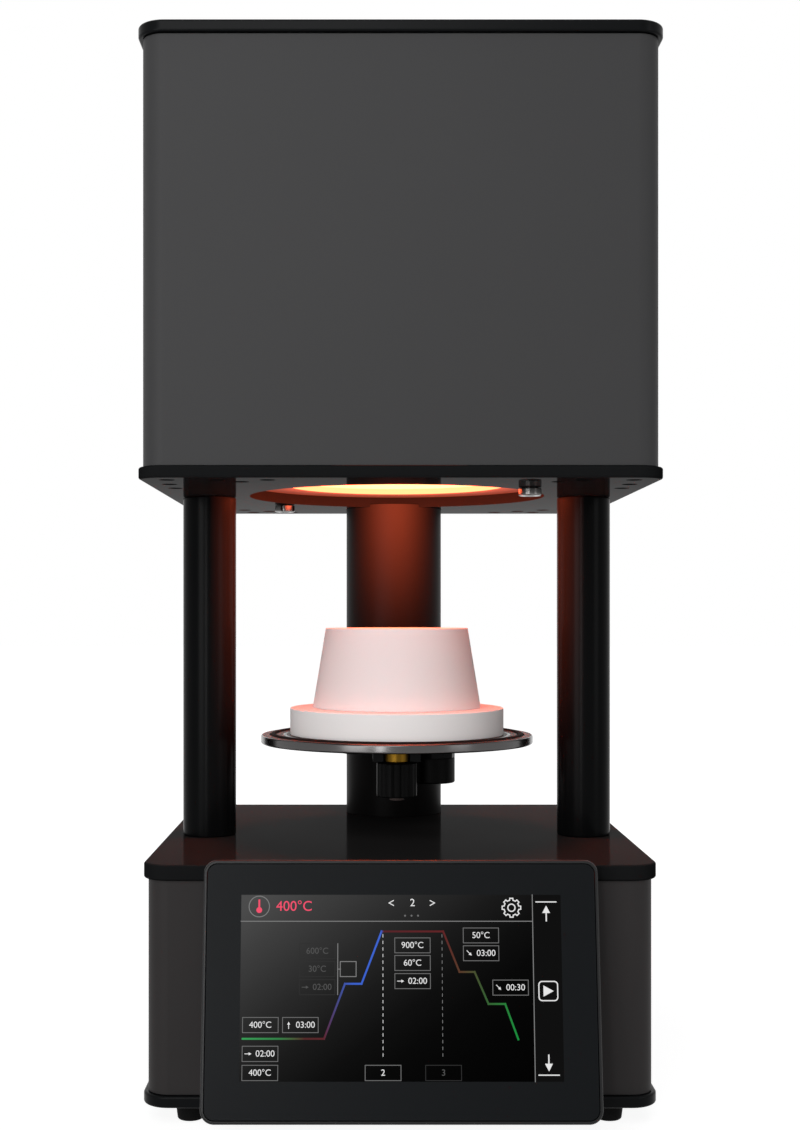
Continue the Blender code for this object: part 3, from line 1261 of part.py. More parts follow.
def add_power_entry():
    location = (ENTRY_SIDE, shell_rear, base_middle_z)
    outer = -PLAY - ENTRY_FLANGE_THICK
    levels = flanged_body((ENTRY_FLANGE_WIDTH, ENTRY_FLANGE_HEIGHT, ENTRY_FLANGE_CORNER),
                          (ENTRY_BODY_WIDTH, ENTRY_BODY_HEIGHT, ENTRY_BODY_CORNER),
                          ENTRY_FLANGE_THICK, ENTRY_FLANGE_EDGE, ENTRY_BODY_DEPTH)
    entry = add_piece("mains_inlet", stack(levels), "black_plastic", location, turn=True)
    inlet_centre = (0, -INLET_DROP)
    pocket_half = (ROCKER_HALF_HEIGHT * math.cos(ROCKER_TILT)
                   + (ROCKER_PIVOT_DEPTH + ROCKER_PROUD) * math.sin(ROCKER_TILT) + ROCKER_END_GAP)
    pocket_side = ROCKER_WIDTH / 2 + ROCKER_SIDE_GAP
    rocker_pocket = ((-pocket_side, ROCKER_RISE - pocket_half, outer - OVERRUN),
                     (pocket_side, ROCKER_RISE + pocket_half, outer + ROCKER_POCKET_DEPTH))
    drawer_half = (DRAWER_WIDTH / 2 + PLAY, DRAWER_HEIGHT / 2 + PLAY)
    drawer_pocket = ((-drawer_half[0], -DRAWER_DROP - drawer_half[1] + DRAWER_HEIGHT / 2, outer - OVERRUN),
                     (drawer_half[0], -DRAWER_DROP + drawer_half[1] + DRAWER_HEIGHT / 2,
                      outer + DRAWER_DEPTH + PLAY))
    cut(entry, joined([
        prism(inlet_outline(INLET_WIDTH, INLET_HEIGHT, INLET_CHAMFER, inlet_centre), outer - OVERRUN,
              outer + INLET_DEPTH),
        box(*drawer_pocket),
        box(*rocker_pocket),
    ]), turn=True)
    floor = outer + INLET_DEPTH
    pins = [prism(outline, floor - PIN_LENGTH, floor + OVERRUN) for outline in pin_outlines(0, inlet_centre)]
    unite(entry, joined(pins), turn=True)
    add_fuse_drawer(outer)
    add_rocker(outer)


def add_fuse_drawer(outer):
    """Drawer that slides out to the rear, with its fuse lying in it."""
    middle = DRAWER_HEIGHT / 2 - DRAWER_DROP
    location = (ENTRY_SIDE, shell_rear - outer, base_middle_z + middle)
    levels = rounded_slab(DRAWER_WIDTH, DRAWER_HEIGHT, 2 * DRAWER_EDGE, 0, DRAWER_DEPTH, DRAWER_EDGE,
                          SLOT_FLAT_COUNT)
    drawer = add_piece("fuse_drawer", stack(levels), "black_plastic", location, turn=True)
    end_wall = (DRAWER_DEPTH - FUSE_LENGTH) / 2 - PLAY
    half = FUSE_RADIUS + PLAY
    notch_low = -DRAWER_HEIGHT / 2 - OVERRUN
    cut(drawer, joined([
        box((-half, -half, end_wall), (half, DRAWER_HEIGHT / 2 + OVERRUN, DRAWER_DEPTH - end_wall)),
        box((-DRAWER_NOTCH_WIDTH / 2, notch_low, -OVERRUN),
            (DRAWER_NOTCH_WIDTH / 2, -DRAWER_HEIGHT / 2 + DRAWER_NOTCH_DEPTH, DRAWER_NOTCH_DEPTH)),
    ]), turn=True)

    waist = FUSE_RADIUS - FUSE_GLASS_SINK
    profile = [(FUSE_RADIUS, 0), (FUSE_RADIUS, FUSE_CAP_LENGTH), (waist, FUSE_CAP_LENGTH),
               (waist, FUSE_LENGTH - FUSE_CAP_LENGTH), (FUSE_RADIUS, FUSE_LENGTH - FUSE_CAP_LENGTH),
               (FUSE_RADIUS, FUSE_LENGTH)]
    fuse_location = (ENTRY_SIDE, location[1] - end_wall - PLAY, location[2])
    add_piece("fuse", turned(profile, TINY_FLAT_COUNT), "fuse_glass", fuse_location, turn=True)


def add_rocker(outer):
    """Rocker switch, its origin on the pivot, drawn level and then tipped to its rest."""
    pivot = (ENTRY_SIDE, shell_rear - outer - ROCKER_PIVOT_DEPTH, base_middle_z + ROCKER_RISE)
    face = ROCKER_PIVOT_DEPTH + ROCKER_PROUD
    dish = ROCKER_PIVOT_DEPTH - ROCKER_DISH
    half = ROCKER_HALF_HEIGHT
    outline = [(face, half), (dish, half / 2), (dish, -half / 2), (face, -half)]
    back = arc(ROCKER_BACK_RADIUS, -math.pi / 2, -3 * math.pi / 2, CORNER_FLAT_COUNT)
    outline = list(reversed(outline + back))
    rings = [[(side * ROCKER_WIDTH / 2, y, z) for y, z in outline] for side in (-1, 1)]
    rocker = add_piece("mains_rocker", skin(rings), "black_plastic", pivot)
    rocker.rotation_euler = (ROCKER_TILT, 0, 0)


def add_pump_socket():
    location = (PUMP_SIDE, shell_rear, base_middle_z - PUMP_SOCKET_DROP)
    levels = flanged_body((SOCKET_FLANGE_WIDTH, SOCKET_FLANGE_HEIGHT, SOCKET_FLANGE_CORNER),
                          (SOCKET_BODY_WIDTH, SOCKET_BODY_HEIGHT, SOCKET_BODY_CORNER),
                          SOCKET_FLANGE_THICK, ENTRY_FLANGE_EDGE, SOCKET_BODY_DEPTH)
    socket = add_piece("pump_socket", stack(levels), "black_plastic", location, turn=True)
    outer = -PLAY - SOCKET_FLANGE_THICK
    slots = [prism(outline, outer - OVERRUN, outer + SOCKET_SLOT_DEPTH)
             for outline in pin_outlines(SOCKET_SLOT_PLAY, (0, 0))]
    cut(socket, joined(slots), turn=True)


def nipple_profile():
    """Bore, thread behind the wall, hexagon-sized nut and barbs; z runs inwards from the wall's face."""
    nut_outer = -PLAY - NIPPLE_NUT_THICK
    tip = -NIPPLE_REACH
    profile = [(NIPPLE_BORE_RADIUS, tip)]
    barb_pitch = (nut_outer - tip) / (NIPPLE_BARB_COUNT + 1)
    for number in range(NIPPLE_BARB_COUNT):
        start = tip + number * barb_pitch
        profile += [(NIPPLE_WAIST_RADIUS, start), (NIPPLE_BARB_RADIUS, start + barb_pitch)]
    profile += [
        (NIPPLE_WAIST_RADIUS, nut_outer - barb_pitch),
        (NIPPLE_WAIST_RADIUS, nut_outer),
        (NIPPLE_NUT_RADIUS, nut_outer),
        (NIPPLE_NUT_RADIUS, -PLAY),
        (NIPPLE_THREAD_RADIUS, -PLAY),
        (NIPPLE_THREAD_RADIUS, NIPPLE_THREAD_LENGTH),
        (NIPPLE_BORE_RADIUS, NIPPLE_THREAD_LENGTH),
    ]
    return profile


def valve_front():
    """Y of the valve's front face, where the hose starts."""
    return shell_rear - NIPPLE_THREAD_LENGTH - PLAY - VALVE_DEPTH


def add_vacuum_fittings():
    z = base_middle_z + NIPPLE_RISE
    add_piece("vacuum_nipple", turned(nipple_profile(), SMALL_FLAT_COUNT, closed=True), "steel",
              (PUMP_SIDE, shell_rear, z), turn=True)
    levels = rounded_slab(VALVE_WIDTH, VALVE_DEPTH, VALVE_CORNER, -VALVE_HEIGHT / 2, VALVE_HEIGHT / 2,
                          VALVE_EDGE, SLOT_FLAT_COUNT)
    valve = add_piece("vacuum_valve", stack(levels), "brass",
                      (PUMP_SIDE, valve_front() + VALVE_DEPTH / 2, z))
    unite(valve, cylinder(SOLENOID_RADIUS, 0, VALVE_HEIGHT / 2 + SOLENOID_HEIGHT, SMALL_FLAT_COUNT))


def add_transformer():
    profile = []
    half = TRANSFORMER_HEIGHT / 2
    corners = (
        (TRANSFORMER_BORE + TRANSFORMER_ROUND, TRANSFORMER_ROUND, math.pi),
        (TRANSFORMER_RADIUS - TRANSFORMER_ROUND, TRANSFORMER_ROUND, 3 * math.pi / 2),
        (TRANSFORMER_RADIUS - TRANSFORMER_ROUND, 2 * half - TRANSFORMER_ROUND, 0),
        (TRANSFORMER_BORE + TRANSFORMER_ROUND, 2 * half - TRANSFORMER_ROUND, math.pi / 2),
    )
    for radius, height, start in corners:
        profile += arc(TRANSFORMER_ROUND, start, start + math.pi / 2, EDGE_FLAT_COUNT, (radius, height))
    add_piece("power_transformer", turned(profile, SMALL_FLAT_COUNT, closed=True), "lacquered_copper",
              (TRANSFORMER_SIDE, hood_front + TRANSFORMER_DEPTH, deck_z))


def sink_outline():
    """Comb section of the heat sink: fins down, flat back up."""
    pitch = (SINK_WIDTH - SINK_FIN_THICK) / (SINK_FIN_COUNT - 1)
    root = SINK_HEIGHT - SINK_BASE_THICK
    points = []
    for number in range(SINK_FIN_COUNT):
        left = number * pitch - SINK_WIDTH / 2
        if number:
            points.append((left, root))
        points += [(left, 0), (left + SINK_FIN_THICK, 0)]
        if number < SINK_FIN_COUNT - 1:
            points.append((left + SINK_FIN_THICK, root))
    points += [(SINK_WIDTH / 2, SINK_HEIGHT), (-SINK_WIDTH / 2, SINK_HEIGHT)]
    return points


def add_heater_relay():
    y = hood_front + RELAY_DEPTH
    sink = prism(sink_outline(), -SINK_LENGTH / 2, SINK_LENGTH / 2)
    add_piece("relay_heat_sink", sink, "aluminium", (RELAY_SIDE, y, deck_z), turn=True)
    levels = rounded_slab(RELAY_WIDTH, RELAY_LENGTH, RELAY_CORNER, 0, RELAY_HEIGHT, RELAY_EDGE,
                          SLOT_FLAT_COUNT)
    add_piece("heater_relay", stack(levels), "black_plastic", (RELAY_SIDE, y, deck_z + SINK_HEIGHT + PLAY))


def add_control_board():
    outline = rounded_rectangle(CONTROL_WIDTH, CONTROL_LENGTH, BOARD_CORNER, SLOT_FLAT_COUNT)
    board = prism(outline, CONTROL_STANDOFF_HEIGHT, CONTROL_STANDOFF_HEIGHT + BOARD_THICK)
    piece = add_piece("control_board", board, "circuit_board",
                      (CONTROL_SIDE, hood_front + CONTROL_DEPTH, deck_z))
    side = CONTROL_WIDTH / 2 - CONTROL_STANDOFF_INSET
    end = CONTROL_LENGTH / 2 - CONTROL_STANDOFF_INSET
    high = CONTROL_STANDOFF_HEIGHT + 2 * BOARD_THICK
    posts = [cylinder(CONTROL_STANDOFF_RADIUS, 0, high, TINY_FLAT_COUNT, (side_x * side, side_y * end))
             for side_x, side_y in ((-1, -1), (1, -1), (1, 1), (-1, 1))]
    unite(piece, joined(posts))


def print_joint_places():
    """The joints' places and ranges, in metres."""
    outer = PLAY + ENTRY_FLANGE_THICK
    print("table travel:", round(-travel_down, 6), "to", round(travel_up, 6))
    print("lift screw axis y:", round(rear_column_y, 6), "firing axis y:", round(axis_y, 6))
    print("fan axis:", round(FAN_SIDE, 6), round(base_middle_z, 6))
    print("rocker pivot:", round(ENTRY_SIDE, 6), round(shell_rear + outer - ROCKER_PIVOT_DEPTH, 6),
          round(base_middle_z + ROCKER_RISE, 6))


def build():
    clear_scene()
    add_feet()
    add_base_plates()
    add_base_shell()
    add_columns()
    add_rear_column()
    add_hood_plates()
    add_hood_shell()
    add_flange_screws()
    add_chamber()
    add_coil()
    add_chamber_fittings()
    add_lines()
    add_table()
    add_plinth()
    add_table_clamp()
    add_lift_arm()
    add_lift_nut()
    add_lift_screw()
    add_display()
    add_display_housing()
    add_fan()
    add_power_entry()
    add_pump_socket()
    add_vacuum_fittings()
    add_transformer()
    add_heater_relay()
    add_control_board()
    print_joint_places()


build()
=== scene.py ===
"""Looks of the dental lab furnace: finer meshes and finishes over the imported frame, the glow of the open
firing chamber, and the picture on the display. Lengths are in metres.
"""
import json
import math

import bmesh
import bpy
from mathutils import Matrix, Vector
from mathutils.bvhtree import BVHTree
from mathutils.geometry import interpolate_bezier


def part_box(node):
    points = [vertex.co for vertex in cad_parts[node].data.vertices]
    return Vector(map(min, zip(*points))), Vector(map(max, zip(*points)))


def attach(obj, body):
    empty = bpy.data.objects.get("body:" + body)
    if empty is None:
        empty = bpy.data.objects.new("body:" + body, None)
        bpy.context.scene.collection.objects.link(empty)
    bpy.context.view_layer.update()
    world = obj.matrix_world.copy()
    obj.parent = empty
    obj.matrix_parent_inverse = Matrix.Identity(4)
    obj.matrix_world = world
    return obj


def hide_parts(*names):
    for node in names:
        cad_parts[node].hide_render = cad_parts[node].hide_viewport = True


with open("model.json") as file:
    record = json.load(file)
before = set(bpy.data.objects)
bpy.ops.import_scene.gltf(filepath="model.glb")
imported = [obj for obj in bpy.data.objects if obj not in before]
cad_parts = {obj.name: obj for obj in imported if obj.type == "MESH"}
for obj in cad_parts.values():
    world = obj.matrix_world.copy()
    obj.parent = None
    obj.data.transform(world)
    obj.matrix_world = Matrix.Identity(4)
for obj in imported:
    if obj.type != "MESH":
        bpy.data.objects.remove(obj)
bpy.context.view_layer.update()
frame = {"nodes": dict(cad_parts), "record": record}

# Camera, level and looking along +Y, with the photograph's 800 x 1130 frame
CAMERA_PLACE = (-0.0155, -0.887433, 0.2572)
CAMERA_LENS = 49.1
CAMERA_SHIFT = (0.0271, 0.0451)

# Lamps: name, place, width, height and radiance; they all face the target
LAMP_TARGET = (0, 0, 0.28)
LAMPS = (
    ("key_softbox", (-0.30, -1.35, 1.00), 0.80, 0.60, 5.6),
    ("left_softbox", (-1.05, -1.55, 0.30), 0.65, 1.10, 5.4),
    ("right_softbox", (1.50, -1.20, 0.60), 0.60, 1.20, 2.2),
    ("front_softbox", (-0.40, -1.62, 0.20), 0.14, 0.46, 15.0),
    ("top_softbox", (0.10, -0.10, 2.00), 0.90, 0.90, 1.2),
    ("rear_softbox", (0.50, 1.50, 1.90), 1.00, 0.80, 2.4),
)
WHITE = (1, 1, 1)
AMBIENT_STRENGTH = 0.13

# Floor, and the light it shows from near the object to far from it
FLOOR_HALF_WIDTH = 12.0
FLOOR_COLOUR = (0.30, 0.30, 0.30)
FLOOR_REACHES = (0.25, 1.1)
FLOOR_LIGHTS = (0.90, 1.0)

# Glow of the open chamber
GLOW_COLOUR = (1.0, 0.127, 0.048)
GLOW_STRENGTH = 6.2
# The flange glows at full strength on its bore; its rim and outer strengths are painted glow of the chamber's
# light
RIM_GLOW_STRENGTH = 0.75
OUTER_GLOW_STRENGTH = 0.30
WIRE_GLOW_STRENGTH = 7.0
FIBRE_GLOW_FALL = 0.004
GLOW_LAMP_RADIUS = 0.042
GLOW_LAMP_RISE = 0.007
GLOW_LAMP_RADIANCE = 8.5
GLOW_REACH = 0.08

# Painted glow: the chamber's light painted as emission on dark pieces. Finish, strength, power of the
# distance, focus and the heights that it fades between
PAINTED_MOUTH_LIGHTS = (
    ("column_black_painted_glow", 0.080, 1.0, 1.0, 0.16, 0.27),
    ("rear_black_painted_light", 0.24, 3.0, 2.0, 0.20, 0.29),
    ("frame_black_painted_light", 0.24, 1.0, 1.0, 0.12, 0.135),
    ("under_plate_painted_light", 0.060, 1.0, 1.0, 0.30, 0.32),
)

# Finishes: name, display colour, roughness, grain, relief, variation and further inputs of the shader
METAL = {"Metallic": 1.0}
FINISHES = (
    ("hood_paint", (0.235, 0.235, 0.238), 0.50, 2600, 0.06, 0.04, {"IOR": 1.20}),
    ("base_paint", (0.150, 0.142, 0.142), 0.55, 2600, 0.06, 0.04, {"IOR": 1.25}),
    ("black_plate", (0.045, 0.050, 0.055), 0.28, 1800, 0.01, 0.05, {"IOR": 1.13}),
    # Hood bottom plate: a grey in place of the black plate's reflection on its underside, painted reflection,
    # with painted glow and painted edge shade added below
    ("under_plate_painted_light", (0.17, 0.17, 0.175), 0.06, 1800, 0.0, 0.04, {"IOR": 1.006}),
    # Base top plate: a lighter grey than the black plate, in place of its reflection, painted reflection,
    # with painted edge shade added below
    ("deck_plate_painted_light", (0.155, 0.150, 0.150), 0.10, 1800, 0.0, 0.04, {"IOR": 1.008}),
    ("gloss_black", (0.030, 0.033, 0.036), 0.20, 1500, 0.002, 0.04, {"IOR": 1.10}),
    # Copies of gloss_black that carry painted glow of the chamber; the rear column's copy is also warmer and
    # the frame's lighter, which is painted light as well
    ("column_black_painted_glow", (0.030, 0.033, 0.036), 0.22, 1500, 0.002, 0.04, {"IOR": 1.10}),
    ("rear_black_painted_light", (0.040, 0.036, 0.036), 0.38, 1500, 0.002, 0.04, {"IOR": 1.10}),
    ("frame_black_painted_light", (0.06, 0.064, 0.068), 0.34, 1500, 0.002, 0.04, {"IOR": 1.30}),
    ("screen_glass", (0.010, 0.020, 0.030), 0.36, 600, 0.0, 0.02, {"IOR": 1.19}),
    ("black_plastic", (0.045, 0.045, 0.045), 0.42, 2200, 0.08, 0.06, {"IOR": 1.12}),
    ("foot_rubber", (0.06, 0.06, 0.06), 0.8, 1500, 0.2, 0.06, {"IOR": 1.18}),
    ("table_steel", (0.31, 0.305, 0.305), 0.20, 900, 0.06, 0.06, {"IOR": 1.02}),
    ("bare_steel", (0.60, 0.60, 0.61), 0.32, 700, 0.05, 0.06, METAL),
    ("screw_steel", (0.42, 0.415, 0.41), 0.18, 1200, 0.03, 0.06, METAL),
    ("bare_aluminium", (0.78, 0.78, 0.79), 0.38, 500, 0.05, 0.06, METAL),
    ("bush_brass", (0.38, 0.28, 0.08), 0.34, 900, 0.08, 0.06, METAL),
    ("white_ceramic", (0.955, 0.94, 0.935), 0.75, 1600, 0.10, 0.012, {"IOR": 1.30}),
    # Darker copy of white_ceramic for the cone, where more light falls: painted shade
    ("cone_ceramic_painted_shade", (0.90, 0.89, 0.89), 0.75, 1600, 0.10, 0.012, {"IOR": 1.30}),
    ("fibre_insulation", (0.90, 0.88, 0.84), 0.95, 700, 0.3, 0.04, {}),
    ("hot_fibre", (0.90, 0.88, 0.84), 0.95, 700, 0.25, 0.10, {}),
    # Seal flange: glow on its hot bore, and painted glow of the chamber's light on the rest
    ("hot_steel_painted_glow", (0.35, 0.33, 0.33), 0.95, 700, 0.25, 0.10, {}),
    ("hot_wire", (0.80, 0.38, 0.18), 0.6, 900, 0.02, 0.06, {}),
    ("circuit_board", (0.10, 0.32, 0.16), 0.45, 400, 0.06, 0.10, {}),
    ("lacquered_copper", (0.66, 0.36, 0.16), 0.35, 500, 0.05, 0.10, {}),
    ("hose_silicone", (0.80, 0.81, 0.82), 0.4, 300, 0.03, 0.06, {"Transmission Weight": 0.35}),
    ("lead_silicone", (0.58, 0.16, 0.12), 0.5, 900, 0.05, 0.06, {}),
    ("fuse_glass", (0.86, 0.88, 0.88), 0.08, 200, 0.0, 0.01, {"Transmission Weight": 0.6}),
    ("mark_white", (0.85, 0.85, 0.85), 0.5, 900, 0.02, 0.02, {}),
)
DISPLAY_LIFT = 0.055
DISPLAY_GAMMA = 2.4
DISPLAY_KNEE = 0.04
DISPLAY_SLOPE = 12.92
GRAIN_STRETCHES = {"bare_steel": (1, 1, 12), "bare_aluminium": (14, 1, 1)}
TURNING_PITCHES = {"table_steel": 0.0008, "bush_brass": 0.0006}
GRAIN_DETAIL = 5.0
PATCH_SCALE = 14.0
PATCH_DETAIL = 3.0
WAVE_PERIOD = math.tau / 20
WAVE_DISTORTION = 0.6
WAVE_DETAIL = 2.0
ROUGHNESS_SHARES = (0.9, 1.05)
RELIEF_DEPTH = 0.0004
FACING_SHARE = 0.5
# Painted shade on the edge faces of the plates
PAINTED_EDGE_SHADE = (0.010, 0.0105, 0.011)
TABLE_TOP_COLOUR = (0.088, 0.068, 0.064)

# Sizes shared with the CAD model
PLAY = 0.0003
CORNER_RADIUS = 0.014
SHELL_INSET = 0.0023
SHELL_WALL = 0.0016
PLATE_EDGE = 0.0012
COLUMN_WALL = 0.003
COLUMN_EDGE = 0.0006
COLUMN_SEAT = 0.002
KEY_SLOT_HALF_WIDTH = 0.005
KEY_SLOT_LOW = 0.1450
KEY_SLOT_HIGH = 0.3222
MOUTH_RADIUS = 0.0613
HEATER_RADIUS = 0.0670
OPENING_GAP = 0.0064
BEARING_FLANGE_REACH = 0.003
LINE_HOLE_GAP = 0.001
FLANGE_SCREWS = ("flange_screw_front", "flange_screw_rear")
FLANGE_SCREW_HOLE_RADIUS = 0.0023
FOOT_TIP_RADIUS = 0.0068
VENT_RADIUS = 0.004
VENT_MARGIN = 0.014
VENT_PITCH = 0.025
FRONT_VENT_SHARES = ((0, 0), (1, 0), (2, 0), (1.44, 0.42), (-0.08, 1.02), (-0.08, 1.98))
REAR_VENT_SHARES = ((1, 0), (2, 0), (1.44, 0.42), (0.84, 0.88))
INTAKE_SLOT = (0.004, 0.026)
INTAKE_SLOT_PITCH = 0.016
INTAKE_SLOT_COUNT = 4
INTAKE_DEPTHS = (0.070, 0.150)
OVERRUN = 0.002

# Windows of the shells
HOOD_SLOT = (0.004, 0.028)
HOOD_SLOT_PITCH = 0.016
HOOD_SLOT_COUNT = 10
HOOD_SLOT_DROP = 0.030
SLOT_CORNER_SHARE = 0.42
GUARD_SLOT_HEIGHT = 0.004
GUARD_SLOT_PITCH = 0.0076
FAN_BORE_RADIUS = 0.0275
FAN_SCREW_INSET = 0.005
FAN_SCREW_RADIUS = 0.0022
ENTRY_WINDOW = (0.0276, 0.0586)
SOCKET_WINDOW = (0.0286, 0.0206)
WINDOW_CORNER = 0.002
NIPPLE_WINDOW_RADIUS = 0.0051

# Firing table and its clamp
TABLE_THICK = 0.005
TABLE_EDGE = 0.0011
RIM_SLACK = 0.0001
STEM_RADIUS = 0.004
SEAL_INSET = 0.0067
SEAL_SECTION = 0.0035
SEAL_PROUD = 0.0010
DRIP_GROOVE_WIDTH = 0.0020
DRIP_GROOVE_DEPTH = 0.0008
CONE_TAPER = 0.0073
CERAMIC_EDGE = 0.0008
CONE_EDGE = 0.0003
CERAMIC_SINK = 0.00025
KNOB_FLUTE_COUNT = 14
KNOB_FLUTE_DEPTH = 0.0009
BOSS_BORE_RADIUS = 0.0025
BOSS_BORE_DEPTH = 0.005
BOSS_EDGE = 0.001
SHANK_RADIUS = 0.002
SHANK_LENGTH = 0.005
SOCKET_RADIUS_SHARE = 1 / 2
SOCKET_DEPTH_SHARE = 1 / 3
HEXAGON_COUNT = 6

# Lead screw, transformer, nipple and the switch's marks
THREAD_LEAD = 0.010
THREAD_START_COUNT = 4
THREAD_DEPTH = 0.0009
THREAD_STEP = 0.0004
WINDING_COUNT = 54
WINDING_DEPTH = 0.0007
TRANSFORMER_BORE = 0.014
TRANSFORMER_ROUND = 0.010
NIPPLE_BARB_COUNT = 3
NIPPLE_REACH = 0.020
NIPPLE_NUT_THICK = 0.004
NIPPLE_NUT_RADIUS = 0.0080
NIPPLE_BARB_RADIUS = 0.0045
NIPPLE_WAIST_RADIUS = 0.0036
NIPPLE_THREAD_RADIUS = 0.0048
NIPPLE_THREAD_LENGTH = 0.008
NIPPLE_BORE_RADIUS = 0.0022
MARK_RISE = 0.0034
MARK_RADIUS = 0.0016
MARK_WIDTH = 0.0004
MARK_THICK = 0.00005

# Hose and leads through the front columns, and the heating coil
LINE_RADIUS = 0.003
LINE_PITCH = 0.014
LINE_TURN_CLEARANCE = 0.018
LINE_BEND_STEP_COUNT = 10
HOSE_START_HANDLE = 0.066
LEAD_START_HANDLE = 0.022
LINE_END_HANDLE = 0.035
COIL_TURN_COUNT = 5
COIL_STEP_COUNT = 48
COIL_WIRE_RADIUS = 0.0015
COIL_WALL_GAP = 0.0006
COIL_END_GAP = 0.010
TUBE_RESOLUTION = 4

# Rounding of the edges of the remaining pieces: node, its body and the width of the rounding
EDGE_ROUNDS = (
    ("lift_arm", "lift", 0.0010), ("spindle_nut", "lift", 0.0005), ("lift_motor", "base", 0.0006),
    ("display_housing", "base", 0.0012), ("mains_inlet", "base", 0.0003), ("fuse_drawer", "drawer", 0.0003),
    ("mains_rocker", "rocker", 0.0003), ("pump_socket", "base", 0.0003), ("heater_relay", "base", 0.0008),
    ("relay_heat_sink", "base", 0.0003), ("vacuum_valve", "base", 0.0004), ("fan_frame", "base", 0.0004),
    ("muffle_can", "base", 0.0004), ("shaft_coupling", "spindle", 0.0003),
)

# Display, whose size is width, height and corner radius
DISPLAY_TILT = math.radians(9.5)
DISPLAY_SIZE = (0.194, 0.1255, 0.0068)
DISPLAY_MIDDLE = (0, DISPLAY_SIZE[1] / 2)
DISPLAY_THICK = 0.010
DISPLAY_EDGE = 0.0011
DISPLAY_RIM = 0.0016
GLASS_THICK = 0.002
GLASS_EDGE = 0.0004
PANEL_THICK = 0.003
BOARD_THICK = 0.0016

# Inks of the picture
INK_BASE = (0.0006, 0.0006, 0.0006)
INK_LOOK = (0.4, 900, 0.0, 0.02, {"IOR": 1.03})
INKS = {
    "bright": (0.80, 0.80, 0.80),
    "dim": (0.085, 0.085, 0.085),
    "line": (0.22, 0.22, 0.22),
    "field": (0.16, 0.16, 0.16),
    "field_dim": (0.030, 0.030, 0.030),
    "side": (0.0044, 0.0044, 0.0044),
    "red": (0.92, 0.085, 0.16),
}
GROUND_DIRECTION = (-1, 0, 1.35)
GROUND_REACH = (-0.018, 0.231)
GROUND_LEVELS = ((0, 0.0002), (0.19, 0.0009), (0.31, 0.0018), (0.42, 0.0040), (0.54, 0.0097), (0.68, 0.0212),
                 (0.77, 0.0319), (0.885, 0.0482), (1, 0.0703))
CURVE_COLOURS = (
    (0.01, (0.22, 0.62, 0.34)), (0.12, (0.20, 0.50, 0.28)), (0.20, (0.32, 0.16, 0.16)),
    (0.26, (0.36, 0.15, 0.17)), (0.31, (0.26, 0.30, 0.55)), (0.35, (0.23, 0.38, 0.80)),
    (0.437, (0.25, 0.40, 0.82)), (0.445, (0.34, 0.14, 0.16)), (0.63, (0.38, 0.14, 0.15)),
    (0.69, (0.34, 0.24, 0.17)), (0.76, (0.22, 0.36, 0.20)), (0.86, (0.10, 0.55, 0.24)),
)
NEW_STOP = 0.5

# Picture, in points from its upper left corner, with X right and Y down
SCREEN_WIDTH = 320
SCREEN_HEIGHT = 181
SCREEN_TOP = 0.1086
POINT = 0.000489
LAYER = 0.00003
GROUND_LAYER = 0
CURVE_LAYER = 1
MARK_LAYER = 2
SIDE_BAR = 291.6
HEADER_HEIGHT = 26
LINE_WIDTH = 0.8
CURVE_WIDTH = 1.9
ICON_WIDTH = 1.1
BRACKET_WIDTH = 0.9
FIELD_LINE_WIDTH = 0.7
LINES = (((0, HEADER_HEIGHT), (SIDE_BAR, HEADER_HEIGHT)), ((SIDE_BAR, 0), (SIDE_BAR, SCREEN_HEIGHT)),
         ((96.8, 48), (96.8, 97.5)), ((97, 72.7), (99.5, 72.7)))
BADGE = ((18, 11.5), 10.2)
SCALE_BOX = ((107.2, 72.7), (15.8, 14.6))
CURVE = ((3, 140), (83.5, 140), (104, 87), (120.5, 87), (140.5, 36), (202, 36), (218, 75.5), (233, 75.5),
         (246.5, 106.5), (263, 106.5), (275.5, 140.5))
DASH_LINES = ((141.8, "bright"), (200.8, "line"))
DASH_TOP = 39
DASH_LENGTH = 2.6
DASH_PITCH = 6.4
DASH_WIDTH = 0.55
DASH_COUNT = 19
GEAR_PLACE = (270.6, 12.7)
GEAR_RADIUS = 9.4
GEAR_TOOTH_COUNT = 8
GEAR_TOOTH_SHARES = ((-0.30, 0.80), (-0.20, 1.0), (0.20, 1.0), (0.30, 0.80))
GEAR_HOLE_SHARE = 0.38
LIFT_STOPS = (((295.3, 7), (315.3, 7)), ((295.3, 174.7), (315.3, 174.7)))
LIFT_ARROWS = (((305.3, 10.5), (0, -1), 15), ((305.3, 171.2), (0, 1), 15.5))
LIFT_ARROW = (3.9, 1.3)
PLAY_KEY = (18.6, 18.6, 3.4, 5, (306, 94))
PLAY_ARROW = ((301.2, 88.6), (301.2, 99.4), (311.4, 94))
BRACKETS = (((148, 8), (152.4, 5.6)), ((148, 8), (152.4, 10.4)),
            ((193.6, 8), (189.2, 5.6)), ((193.6, 8), (189.2, 10.4)))
THERMOMETER = ((18, 5.5), (18, 13), 1.8)
THERMOMETER_BULB = (2.9, 20, (18, 15))
PAGE_DOT_PLACES = ((164, 20.5), (170.5, 20.5), (177, 20.5))
PAGE_DOT = (1.0, 12)
TITLES = (("screen_temperature", "400°C", (53, 11.5), 14.0, "red"),
          ("screen_program", "2", (171.5, 8), 10.5, "bright"))

